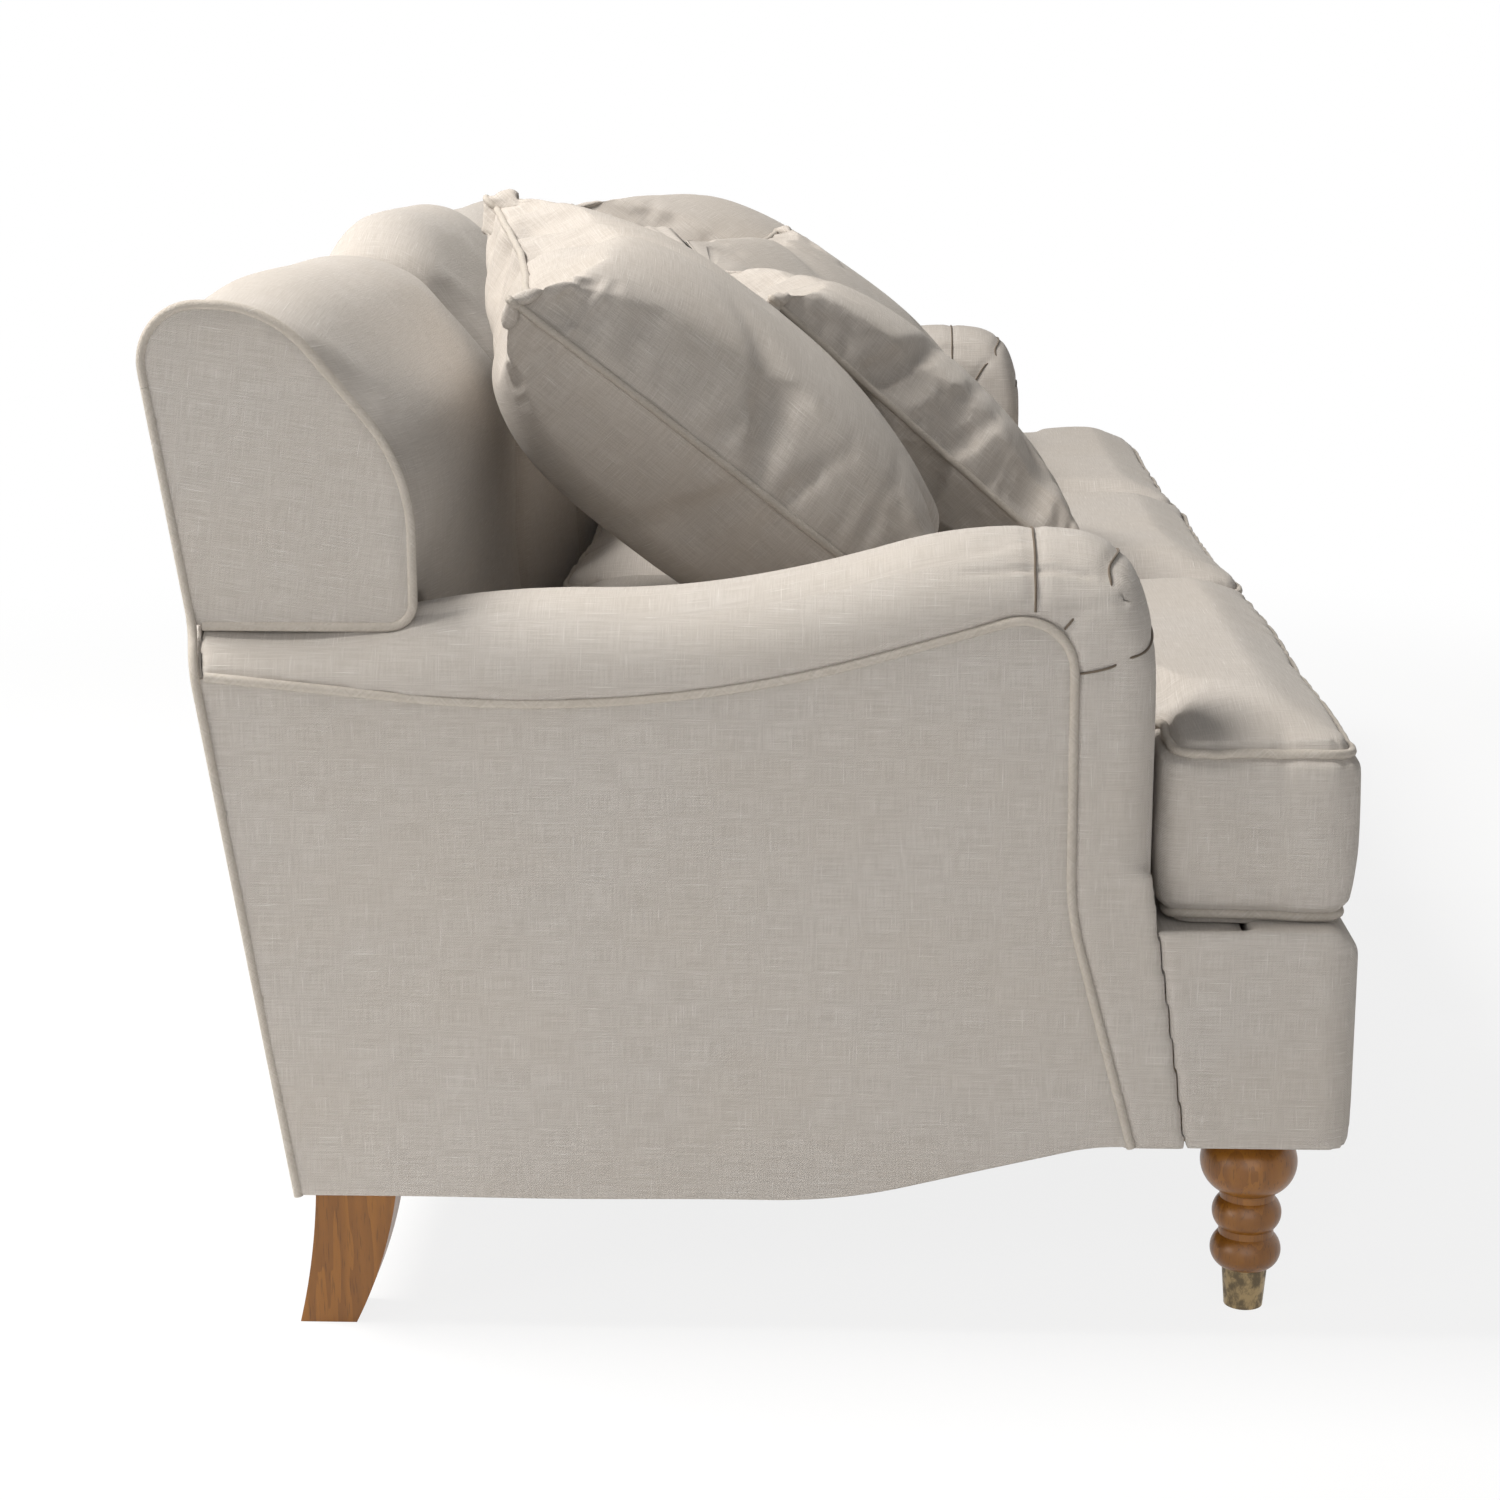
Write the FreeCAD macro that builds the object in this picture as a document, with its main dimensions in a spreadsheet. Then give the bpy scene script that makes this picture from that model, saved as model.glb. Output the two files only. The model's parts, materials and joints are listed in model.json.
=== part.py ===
import FreeCAD, Part

import math
import os

import Sketcher
from FreeCAD import Placement, Rotation, Vector

# English roll arm sofa: three seats, tight three-section back, low set-back rolled arms.
# X runs along the seat, the front faces -Y and Z is up. The origin is on the floor under the middle.
# All lengths are millimetres and all angles are degrees.

doc = FreeCAD.newDocument("english_roll_arm_sofa")

# Driving sizes: name, value, meaning.
SIZES = [
    ("sofa_width", 2090, "outside of one arm to the outside of the other"),
    ("sofa_depth", 1000, "front of the seat cushions to the rear welt"),
    ("arm_width", 127, "thickness of a padded arm, side to side"),
    ("fit_gap", 0.3, "clearance between padded pieces that press together"),
    ("wood_gap", 0.2, "clearance round a bolt or tenon"),
    ("cover", 8, "thickness of the padded cover on the outside of an arm"),
    ("back_cover", 6, "thickness of the cover on the outside of the back"),
    ("cover_drop", 4, "how far the side and front covers hang below the rails"),
    ("back_rake", 8.8, "lean of the back from upright"),
    ("rear_inset", 7.07, "rear welt to the outside back cover, at the frame top"),
    ("front_underside", 172, "floor to the underside of the front rail"),
    ("side_underside", 120, "floor to the underside of the side and rear rails"),
    ("rail_top", 300, "floor to the top of the seat rails"),
    ("rail_thickness", 30, "thickness of every seat rail"),
    ("frame_top", 790, "floor to the top of the back frame"),
    ("scallop_rear_setback", 438, "front plane to where the side rail reaches its full depth"),
    ("scallop_front_setback", 226, "front plane to where the side rail starts to deepen"),
    ("scallop_front_radius", 180, "rounding where the lower edge of the arm panel starts to fall"),
    ("scallop_rear_radius", 480, "rounding where that edge levels out again"),
    ("border_overhang", 11, "front of the cushions past the front border"),
    ("border_padding", 19, "padding on the face of the front rail"),
    ("border_top", 356, "floor to the top roll of the front border"),
    ("border_roll", 30, "rounding of the top front edge of the border"),
    ("border_corner", 30, "rounding of the upright front corners of the border"),
    ("border_curl", 3, "how far the foot of the border curls back"),
    ("border_curl_height", 40, "height of that curl"),
    ("border_depth", 90, "depth of the top roll of the border"),
    ("deck_top", 352, "floor to the top of the seat deck"),
    ("stretcher_thickness", 28, "thickness of a seat stretcher"),
    ("stretcher_height", 58, "height of a seat stretcher"),
    ("block_leg", 110, "leg of a triangular corner block"),
    ("block_height", 40, "height of a corner block"),
    ("arm_setback", 185, "front plane to the front of an arm"),
    ("arm_padding", 19, "padding on the inner face and the front of an arm"),
    ("arm_peak_setback", 274, "front plane to the highest point of an arm"),
    ("arm_peak_height", 677, "floor to the highest point of an arm"),
    ("arm_middle_setback", 486, "front plane to the middle of an arm"),
    ("arm_middle_height", 639, "floor to the top of an arm at its middle"),
    ("arm_hollow_setback", 691, "front plane to the flattest part of an arm's top"),
    ("arm_hollow_height", 623, "floor to the top of an arm there"),
    ("arm_rear_setback", 808, "front plane to where an arm meets the back"),
    ("arm_rear_height", 606, "floor to the top of an arm where it meets the back"),
    ("arm_nose_drop", 88, "fall of the arm top from its peak to its front face"),
    ("arm_nose_depth", 52, "depth over which the arm front is rounded"),
    ("arm_nose_inset", 16, "rounding of the front face of an arm"),
    ("arm_roll_meeting", 56, "rise of the arm's round top over its sides where it meets the back"),
    ("arm_roll_rear", 39, "the same at the rear of the sofa"),
    ("arm_flare", 35, "how far the foot of the arm front sweeps forward"),
    ("arm_flare_height", 403, "floor to where that sweep starts"),
    ("stump_setback", 6, "front padding of an arm to the face of its stump"),
    ("stump_thickness", 35, "thickness of an arm stump, front to rear"),
    ("stump_width", 70, "width of an arm stump, side to side"),
    ("arm_rail_thickness", 28, "thickness of an arm top rail"),
    ("arm_rail_cover", 58, "padding over an arm top rail"),
    ("post_width", 50, "width of a back post"),
    ("post_depth", 45, "depth of a back post"),
    ("middle_post_width", 40, "width of a middle back post"),
    ("top_rail_height", 60, "height of the back top rail"),
    ("lower_rail_base", 400, "floor to the underside of the back lower rail"),
    ("lower_rail_height", 50, "height of the back lower rail"),
    ("web_width", 50, "width of a back webbing strip"),
    ("web_thickness", 2, "thickness of the back webbing"),
    ("back_foot_depth", 238, "rear welt to the front of the back padding at the seat deck"),
    ("back_depth", 217, "rear welt to the front of the back padding at arm height"),
    ("back_chest_height", 560, "floor to where the face of the back turns upright"),
    ("back_chest_radius", 600, "rounding of the face of the back there"),
    ("back_bend_height", 725, "floor to where the face of the back starts to roll over"),
    ("back_bend_radius", 147, "rounding of the face of the back there"),
    ("back_roll_angle", 50.3, "slope of the rolled part from level"),
    ("back_brow_radius", 98, "rounding between that slope and the top of the back"),
    ("back_crest_radius", 46, "rounding between the top and the rear of the back"),
    ("back_end_top", 855.5, "floor to the top of the back at its ends"),
    ("back_end_setin", 27, "outside of an arm to the outside of the back above it"),
    ("back_side_crown", 20, "rise of an outer back section over its ends"),
    ("back_middle_crown", 44, "rise of the middle back section over the back's ends"),
    ("back_swell", 12, "forward swell of each back section"),
    ("pleat_depth", 12, "how far each pleat draws the back padding in"),
    ("end_panel_thickness", 10, "thickness of the padded panel on each end of the back"),
    ("end_panel_drop", 9, "top of the arm to the foot of that panel"),
    ("end_panel_corner", 20, "rounding of the lower front corner of that panel"),
    ("welt_radius", 4, "radius of the welt cord round the covers"),
    ("welt_stand", 2, "how far a welt stands out to the side of its cover"),
    ("welt_gap", 0.6, "clearance between a welt and the covers it lies on"),
    ("rear_welt_bend", 45, "radius of the rear welt where it steps in over the arm"),
    ("panel_setback", 251, "front plane to the front edge of the outer arm panel"),
    ("panel_lean", 2, "how far that edge leans forward down to its foot"),
    ("panel_toe_setback", 194, "front plane to the foot of that edge"),
    ("panel_toe_radius", 250, "rounding where that edge sweeps forward"),
    ("panel_toe_height", 370, "floor to where that edge turns upright"),
    ("panel_corner_height", 624, "height of the sharp corner of that panel, before rounding"),
    ("panel_corner_radius", 42, "rounding of that corner"),
    ("panel_dip_setback", 594, "front plane to the lowest point of the panel's top edge"),
    ("panel_dip_height", 526, "height where the two slopes of the top edge meet, before rounding"),
    ("panel_dip_radius", 1045, "radius of the long dip in the top edge"),
    ("panel_rear_height", 560, "floor to the rear end of the top edge"),
    ("seat_count", 3, "number of seats"),
    ("cushion_base_gap", 0.4, "clearance from the deck up to a seat cushion"),
    ("cushion_height", 150, "height of a seat cushion between its two seams"),
    ("cushion_crown", 26, "rise of the middle of a seat cushion over its top seam"),
    ("cushion_rear_setin", 250, "rear welt to the rear face of a seat cushion"),
    ("cushion_corner", 28, "corner radius of a seat cushion in plan"),
    ("cushion_tuck", 13, "how far the seams of a seat cushion are drawn in"),
    ("cushion_dome", 104, "seam of a seat cushion to the flat of its crown"),
    ("cushion_wall", 9, "thickness of the cushion cover with its wrap"),
    ("ear_inset", 5, "outside of an arm to the outside of a cushion ear"),
    ("ear_gap", 4, "gap between an arm front and the cushion ear before it"),
    ("ear_corner", 10, "rounding of the inner corner behind a cushion ear"),
    ("spring_wire", 2, "radius of the seat spring wire"),
    ("spring_edge", 2, "edge of a seat rail to a spring clip on it"),
    ("spring_width", 46, "straight run of a seat spring between its turns"),
    ("spring_waves", 14, "waves in each seat spring"),
    ("springs_per_seat", 3, "seat springs under each seat"),
    ("clip_length", 24, "length of a spring clip"),
    ("clip_width", 12, "width of a spring clip"),
    ("clip_height", 6, "height of a spring clip"),
    ("dust_cover_thickness", 2, "thickness of the dust cover under the seat"),
    ("leg_inset", 75, "outside of an arm to the axis of a front leg"),
    ("leg_setback", 86, "front plane to the axis of a front leg"),
    ("ferrule_height", 37, "height of the brass cup on a front leg"),
    ("ferrule_foot_radius", 16.5, "radius of the cup at the floor"),
    ("ferrule_mouth_radius", 19.5, "radius of the cup at its mouth"),
    ("ferrule_wall", 2, "wall of the cup"),
    ("neck_radius", 23.5, "radius of the grooves of a front leg"),
    ("neck_height", 6, "height of each groove"),
    ("lower_bead_height", 28, "height of the lower bead of a front leg"),
    ("upper_bead_height", 27, "height of the upper bead of a front leg"),
    ("bead_curve", 18, "radius of the beads' profile"),
    ("bulb_height", 52, "height of the bulb of a front leg"),
    ("bulb_curve", 29.5, "radius of the bulb's profile"),
    ("collar_radius", 34, "radius of the collar under the front rail"),
    ("collar_step", 4, "step from the bulb of a front leg to its collar"),
    ("bolt_radius", 4, "radius of a hanger bolt"),
    ("bolt_grip", 40, "length of a hanger bolt in the leg, and in the wood above"),
    ("rear_leg_setin", 193, "rear welt to the front of a rear leg's top"),
    ("rear_leg_depth", 68, "depth of a rear leg at its top"),
    ("rear_foot_depth", 48, "depth of a rear leg at the floor"),
    ("rear_foot_kick", 37, "how far the foot of a rear leg kicks back, at its front edge"),
    ("rear_leg_thickness", 50, "thickness of a rear leg, side to side"),
    ("rear_leg_front_curve", 380, "radius of a rear leg's front edge"),
    ("rear_leg_rear_curve", 610, "radius of a rear leg's rear edge"),
    ("pillow_waist", 22, "how far the sides of a pillow are drawn in between its corners"),
]

# Where each throw pillow rests and how it leans. The corner ones stand against the arms.
PILLOW_MEANINGS = (
    ("from_arm", "inner face of the arm to the middle of this pillow"),
    ("from_back", "face of the back to the middle of this pillow"),
    ("over_seat", "seam of the seat cushions up to the middle of this pillow"),
    ("turn", "how far this pillow faces round from the front"),
    ("lean", "how far its face tips up from level sight"),
    ("roll", "how far it is rolled in its own plane"),
    ("width", "side of this pillow, corner to corner"),
    ("front", "plumpness of its front half"),
    ("rear", "plumpness of its rear half"),
)
PILLOWS = {
    "corner_left": (344, 221, 214.6, 0.3, 50.6, 11.1, 536, 107.5, 134),
    "front_left": (685, 398, 170.3, 10.5, 48.6, -0.5, 459, 80, 80),
    "corner_right": (323, 266, 197.6, -5.8, 55.7, -8.8, 549, 105.5, 126.6),
    "front_right": (708, 335, 181.7, -15.7, 45.0, -3.2, 484, 68, 68),
}
for pillow, values in PILLOWS.items():
    for (part, meaning), value in zip(PILLOW_MEANINGS, values):
        SIZES.append((f"{pillow}_{part}", value, meaning))

sheet = doc.addObject("Spreadsheet::Sheet", "Sizes")
for row, (alias, value, meaning) in enumerate(SIZES, start=1):
    sheet.set(f"A{row}", alias)
    sheet.set(f"B{row}", str(value))
    sheet.setAlias(f"B{row}", alias)
    sheet.set(f"C{row}", meaning)
doc.recompute()


class Size:
    """A length that knows its value and the sheet formula that gives it."""

    def __init__(self, value, formula):
        self.value = float(value)
        self.formula = formula

    def __float__(self):
        return self.value

    def __add__(self, other):
        return Size(self.value + float(other), f"({self.formula} + {formula_of(other)})")

    def __radd__(self, other):
        return Size(float(other) + self.value, f"({formula_of(other)} + {self.formula})")

    def __sub__(self, other):
        return Size(self.value - float(other), f"({self.formula} - {formula_of(other)})")

    def __rsub__(self, other):
        return Size(float(other) - self.value, f"({formula_of(other)} - {self.formula})")

    def __mul__(self, other):
        return Size(self.value * float(other), f"({self.formula} * {formula_of(other)})")

    def __rmul__(self, other):
        return self * other

    def __truediv__(self, other):
        return Size(self.value / float(other), f"({self.formula} / {formula_of(other)})")

    def __neg__(self):
        return Size(-self.value, f"(-1 * {self.formula})")


def formula_of(amount):
    """The formula of a size, or the text of a plain number."""
    return amount.formula if isinstance(amount, Size) else repr(float(amount))


def size(alias):
    """The size kept in the sheet under this alias."""
    return Size(sheet.get(alias), f"Sizes.{alias}")


def tangent(angle):
    """The tangent of an angle in degrees."""
    return Size(math.tan(math.radians(float(angle))), f"tan({angle.formula})")


# Planes that several pieces share.
half_width = size("sofa_width") / 2
rear_plane = size("sofa_depth") / 2
front_plane = -rear_plane
gap = size("fit_gap")
skin = half_width - size("cover")
rail_inner = skin - size("rail_thickness")
arm_inner = half_width - size("arm_width")
arm_wood_inner = arm_inner + size("arm_padding")
arm_front = front_plane + size("arm_setback")
border_front = front_plane + size("border_overhang")
rail_front = border_front + size("border_padding")
rail_rear = rail_front + size("rail_thickness")
stump_front = arm_front + size("arm_padding") + size("stump_setback")
cover_low = size("front_underside") - size("cover_drop")
slope = tangent(size("back_rake"))
seat_width = arm_inner * 2 / size("seat_count")
seat_edge = seat_width / 2
back_half_width = half_width - size("back_end_setin")
back_pad_half_width = back_half_width - size("end_panel_thickness")
cushion_base = size("border_top") + size("cushion_base_gap")
end_panel_base = size("arm_rear_height") - size("end_panel_drop")
frame_depth = size("back_cover") + gap + size("post_depth")

SIDES = {"left": -1, "right": 1}
CUSHIONS = {"left": -1, "centre": 0, "right": 1}
NODES = {}


def rear_face(height):
    """Y of the outside of the raked back at a height."""
    return rear_plane - size("rear_inset") - slope * (size("frame_top") - height)


def frame_rear(height):
    """Y of the rear of the back frame at a height."""
    return rear_face(height) - size("back_cover") - gap


def frame_front(height):
    """Y of the front of the back frame at a height."""
    return rear_face(height) - frame_depth


def keep(label, piece):
    """File a finished piece under the name of its node."""
    piece.Label = label
    NODES[label] = piece
    return piece


def place(piece, x=0, y=0, z=0):
    """Tie a piece's position to its sizes."""
    for axis, amount in (("x", x), ("y", y), ("z", z)):
        if isinstance(amount, Size):
            piece.setExpression(f"Placement.Base.{axis}", amount.formula)
        else:
            setattr(piece.Placement.Base, axis, float(amount))
    return piece


def box(name, x_range, y_range, z_range):
    """A squared board between two planes on each axis."""
    board = doc.addObject("Part::Box", name)
    for side, (low, high) in zip(("Length", "Width", "Height"), (x_range, y_range, z_range)):
        board.setExpression(side, (high - low).formula)
    return place(board, x_range[0], y_range[0], z_range[0])


def outward(side, inner, outer):
    """The X range between an inner and an outer plane on one side of the sofa."""
    return (-outer, -inner) if side < 0 else (inner, outer)


def cylinder(name, radius, height, x, y, z):
    """An upright cylinder."""
    rod = doc.addObject("Part::Cylinder", name)
    rod.setExpression("Radius", radius.formula)
    rod.setExpression("Height", height.formula)
    return place(rod, x, y, z)


def cut(name, base, tool):
    """One piece with another taken away."""
    result = doc.addObject("Part::Cut", name)
    result.Base = base
    result.Tool = tool
    return result


def group(name, pieces):
    """Several solids of one node."""
    compound = doc.addObject("Part::Compound", name)
    compound.Links = pieces
    return compound


def sketch_edge(start, end, radius, bulge):
    """A straight or round sketch edge; bulge 1 swells left of its travel and -1 right."""
    if radius is None:
        return Part.LineSegment(start, end), 1, 2
    chord = end - start
    left = Vector(-chord.y, chord.x, 0).normalize()
    reach = math.sqrt(float(radius) ** 2 - (chord.Length / 2) ** 2)
    centre = (start + end) * 0.5 - left * reach * bulge
    circle = Part.Circle(centre, Vector(0, 0, 1), float(radius))
    first, last = (end, start) if bulge > 0 else (start, end)
    begin = math.atan2(first.y - centre.y, first.x - centre.x)
    finish = math.atan2(last.y - centre.y, last.x - centre.x)
    if finish < begin:
        finish += 2 * math.pi
    return Part.ArcOfCircle(circle, begin, finish), (2 if bulge > 0 else 1), (1 if bulge > 0 else 2)


def sketch_outline(body, plane, corners):
    """A closed sketch. Each corner is (across, up) or (across, up, radius, bulge) of the edge leaving it."""
    sketch = body.newObject("Sketcher::SketchObject", f"{body.Name}_sketch")
    origin_plane = next(item for item in body.Origin.OriginFeatures if item.Role == plane)
    sketch.AttachmentSupport = [(origin_plane, "")]
    sketch.MapMode = "FlatFace"
    spots = [Vector(float(corner[0]), float(corner[1]), 0) for corner in corners]
    ends = []
    for index, corner in enumerate(corners):
        radius, bulge = corner[2:] if len(corner) == 4 else (None, 0)
        edge, first, last = sketch_edge(spots[index], spots[(index + 1) % len(spots)], radius, bulge)
        number = sketch.addGeometry(edge, False)
        ends.append((number, first, last))
        if radius is not None:
            held = sketch.addConstraint(Sketcher.Constraint("Radius", number, float(radius)))
            if isinstance(radius, Size):
                sketch.setExpression(f"Constraints[{held}]", radius.formula)
    for index, (number, first, last) in enumerate(ends):
        following, start, _ = ends[(index + 1) % len(ends)]
        sketch.addConstraint(Sketcher.Constraint("Coincident", number, last, following, start))
        for kind, amount in zip(("DistanceX", "DistanceY"), corners[index][:2]):
            held = sketch.addConstraint(Sketcher.Constraint(kind, -1, 1, number, first, float(amount)))
            if isinstance(amount, Size):
                sketch.setExpression(f"Constraints[{held}]", amount.formula)
    return sketch


def padded(name, plane, corners, length):
    """A body sawn from a flat outline; it grows along the outline's normal."""
    body = doc.addObject("PartDesign::Body", name)
    sketch = sketch_outline(body, plane, corners)
    pad = body.newObject("PartDesign::Pad", f"{name}_pad")
    pad.Profile = sketch
    sketch.Visibility = False
    pad.setExpression("Length", length.formula)
    return body


def turned(name, corners):
    """A body turned round its own upright axis from a half outline."""
    body = doc.addObject("PartDesign::Body", name)
    sketch = sketch_outline(body, "XZ_Plane", corners)
    spin = body.newObject("PartDesign::Revolution", f"{name}_turning")
    spin.Profile = sketch
    spin.ReferenceAxis = (sketch, ["V_Axis"])
    spin.Angle = 360
    return body


def solid_of(shape):
    """The largest solid of a shape."""
    return max(shape.Solids, key=lambda solid: solid.Volume)


def soft(label, shape):
    """A padded piece whose form comes from lofts and cuts."""
    feature = doc.addObject("Part::Feature", label)
    feature.Shape = shape
    feature.Placement = Placement()
    return keep(label, feature)


def smooth_loft(sections):
    """A solid skin through closed sections, of low degree so that it stays between them."""
    return Part.makeLoft(sections, True, False, False, 2)


def polygon_prism(points, axis_vector):
    """A straight-edged plate between an outline and its shift along an axis."""
    return Part.Face(Part.makePolygon(points + points[:1])).extrude(axis_vector)


def span_block(x_range, y_range, z_range):
    """A block between two planes on each axis, for cutting padded pieces."""
    low = Vector(min(x_range), y_range[0], z_range[0])
    return Part.makeBox(abs(x_range[1] - x_range[0]), y_range[1] - y_range[0], z_range[1] - z_range[0], low)


def run(start, end):
    """A straight edge."""
    return Part.LineSegment(start, end).toShape()


def corner_arc(before, corner, after, radius):
    """Start, middle and end of the arc that rounds a corner between two straight runs."""
    back = (before - corner).normalize()
    ahead = (after - corner).normalize()
    half_angle = back.getAngle(ahead) / 2
    reach = radius / math.tan(half_angle)
    inward = (back + ahead).normalize()
    centre = corner + inward * (radius / math.sin(half_angle))
    return corner + back * reach, centre - inward * radius, corner + ahead * reach


def rounded_path(points, radii):
    """An open path of straight runs; radii rounds its inner points."""
    edges = []
    start = points[0]
    for index, radius in enumerate(radii, start=1):
        first, middle, last = corner_arc(points[index - 1], points[index], points[index + 1], radius)
        edges.append(run(start, first))
        edges.append(Part.Arc(first, middle, last).toShape())
        start = last
    edges.append(run(start, points[-1]))
    return Part.Wire(edges)


def rounded_loop(points, radii):
    """A closed outline of straight runs; a radius of 0 keeps its corner sharp."""
    corners = []
    for index, (corner, radius) in enumerate(zip(points, radii)):
        after = points[(index + 1) % len(points)]
        corners.append(corner_arc(points[index - 1], corner, after, radius) if radius else (corner, None, corner))
    edges = []
    for index, (first, middle, last) in enumerate(corners):
        if middle is not None:
            edges.append(Part.Arc(first, middle, last).toShape())
        edges.append(run(last, corners[(index + 1) % len(corners)][0]))
    return Part.Wire(edges)


def cord_along(path, radius):
    """A round cord swept along a path of straight runs and tangent arcs."""
    first_edge = path.OrderedEdges[0]
    begin = first_edge.valueAt(first_edge.FirstParameter)
    heading = first_edge.tangentAt(first_edge.FirstParameter)
    section = Part.Wire(Part.makeCircle(radius, begin, heading))
    cord = path.makePipeShell([section], True, False)
    expected = math.pi * radius ** 2 * path.Length
    print(f"cord volume over section times length: {cord.Volume / expected:.4f}")
    return cord


# Seat frame
def make_seat_frame():
    """Front, rear and side rails, stretchers and the glued corner blocks."""
    keep("front_rail", box("front_rail", (-skin, skin), (rail_front, rail_rear),
                           (size("front_underside"), size("rail_top"))))
    raked_board("rear_rail", rail_inner - size("post_width"), size("side_underside"), size("rail_top"),
                size("rail_thickness"))
    for name, side in SIDES.items():
        low, high = size("side_underside"), size("rail_top")
        rail = padded(f"side_rail_{name}_blank", "YZ_Plane", [
            (rail_rear, size("front_underside")),
            (front_plane + size("scallop_front_setback"), size("front_underside")),
            (front_plane + size("scallop_rear_setback"), low),
            (frame_rear(low), low),
            (frame_rear(high), high),
            (rail_rear, high),
        ], size("rail_thickness"))
        place(rail, outward(side, rail_inner, skin)[0])
        bolt_hole = cylinder(f"side_rail_{name}_hole", size("bolt_radius") + size("wood_gap"),
                             size("bolt_grip") + 1, side * rear_bolt_x, rear_bolt_y, low - 1)
        keep(f"side_rail_{name}", cut(f"side_rail_{name}", rail, bolt_hole))
        middle = side * seat_edge
        half = size("stretcher_thickness") / 2
        keep(f"seat_stretcher_{name}", box(
            f"seat_stretcher_{name}", (middle - half, middle + half),
            (rail_rear, rear_rail_front(size("front_underside"))),
            (size("front_underside"), size("front_underside") + size("stretcher_height"))))
    blocks = []
    for name, side in SIDES.items():
        for end in ("front", "rear"):
            blocks.append(corner_block(name, side, end))
    keep("corner_blocks", group("corner_blocks", blocks))


def rear_rail_front(height):
    """Y of the front of the rear rail at a height."""
    return frame_rear(height) - size("rail_thickness")


def corner_block(name, side, end):
    """A triangular block glued into one corner of the seat frame."""
    leg = size("block_leg")
    if end == "front":
        corner_x, corner_y, inward = rail_inner, rail_rear, 1
    else:
        corner_x = rail_inner - size("post_width")
        corner_y, inward = rear_rail_front(size("front_underside")), -1
    outline = [
        (side * corner_x, corner_y),
        (side * corner_x - side * leg, corner_y),
        (side * corner_x, corner_y + inward * leg),
    ]
    block = padded(f"corner_block_{end}_{name}", "XY_Plane", outline, size("block_height"))
    place(block, 0, 0, size("front_underside"))
    if end == "rear":
        return block
    hole = cylinder(f"corner_block_hole_{name}", size("bolt_radius") + size("wood_gap"),
                    size("block_height") + 2, side * leg_x, leg_y, size("front_underside") - 1)
    return cut(f"corner_block_drilled_{name}", block, hole)


def raked_board(label, half_length, low, high, thickness):
    """A board across the back frame, its rear face on the frame's raked rear plane."""
    board = padded(label, "YZ_Plane", [
        (frame_rear(low) - thickness, low),
        (frame_rear(low), low),
        (frame_rear(high), high),
        (frame_rear(high) - thickness, high),
    ], half_length * 2)
    place(board, -half_length)
    return keep(label, board)


# Arm and back frame
def arm_rail_top(setback_y):
    """Height of the top face of an arm top rail at a Y."""
    fall = (size("arm_peak_height") - size("arm_rear_height")) / (
        size("arm_rear_setback") - size("arm_peak_setback"))
    return size("arm_peak_height") - size("arm_rail_cover") - fall * (
        setback_y - front_plane - size("arm_peak_setback"))


def make_arm_frame():
    """Arm stumps and the sloping top rails they carry with the back posts."""
    thickness = size("arm_rail_thickness")
    stump_rear = stump_front + size("stump_thickness")
    for name, side in SIDES.items():
        x_range = outward(side, rail_inner - size("stump_width"), rail_inner)
        stump = padded(f"arm_stump_{name}", "YZ_Plane", [
            (stump_front, size("front_underside")),
            (stump_rear, size("front_underside")),
            (stump_rear, arm_rail_top(stump_rear) - thickness),
            (stump_front, arm_rail_top(stump_front) - thickness),
        ], size("stump_width"))
        keep(f"arm_stump_{name}", place(stump, x_range[0]))
        rear_top = frame_front(arm_rail_top(front_plane + size("arm_rear_setback")))
        rear_low = frame_front(arm_rail_top(front_plane + size("arm_rear_setback")) - thickness)
        x_range = outward(side, arm_wood_inner, skin)
        rail = padded(f"arm_top_rail_{name}", "YZ_Plane", [
            (stump_front, arm_rail_top(stump_front) - thickness),
            (rear_low, arm_rail_top(rear_low) - thickness),
            (rear_top, arm_rail_top(rear_top)),
            (stump_front, arm_rail_top(stump_front)),
        ], skin - arm_wood_inner)
        keep(f"arm_top_rail_{name}", place(rail, x_range[0]))


def make_back_frame():
    """Raked posts, top rail, lower rail and the webbing strips across them."""
    low, high = size("side_underside"), size("frame_top")
    depth = size("post_depth")
    inner = rail_inner - size("post_width")
    raked = [
        (frame_front(low), low),
        (frame_rear(low), low),
        (frame_rear(high), high),
        (frame_front(high), high),
    ]
    for name, side in SIDES.items():
        post = padded(f"back_post_{name}", "YZ_Plane", raked, size("post_width"))
        keep(f"back_post_{name}", place(post, outward(side, inner, rail_inner)[0]))
        top_rail_base = high - size("top_rail_height")
        foot, head = size("lower_rail_base") + size("lower_rail_height"), top_rail_base
        middle = padded(f"back_middle_post_{name}", "YZ_Plane", [
            (frame_rear(foot) - depth, foot),
            (frame_rear(foot), foot),
            (frame_rear(head), head),
            (frame_rear(head) - depth, head),
        ], size("middle_post_width"))
        keep(f"back_middle_post_{name}", place(middle, side * seat_edge - size("middle_post_width") / 2))
    raked_board("back_top_rail", inner, top_rail_base, high, depth)
    raked_board("back_lower_rail", inner, size("lower_rail_base"), foot, depth)
    webs = []
    count = 2 * int(float(size("seat_count")))
    web_low, web_high = size("lower_rail_base"), high
    for index in range(count):
        centre = (index + 0.5) * (inner * 2 / count) - inner
        web = padded(f"web_{index}", "YZ_Plane", [
            (frame_front(web_low) - size("web_thickness"), web_low),
            (frame_front(web_low), web_low),
            (frame_front(web_high), web_high),
            (frame_front(web_high) - size("web_thickness"), web_high),
        ], size("web_width"))
        webs.append(place(web, centre - size("web_width") / 2))
    keep("back_webbing", group("back_webbing", webs))


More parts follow.
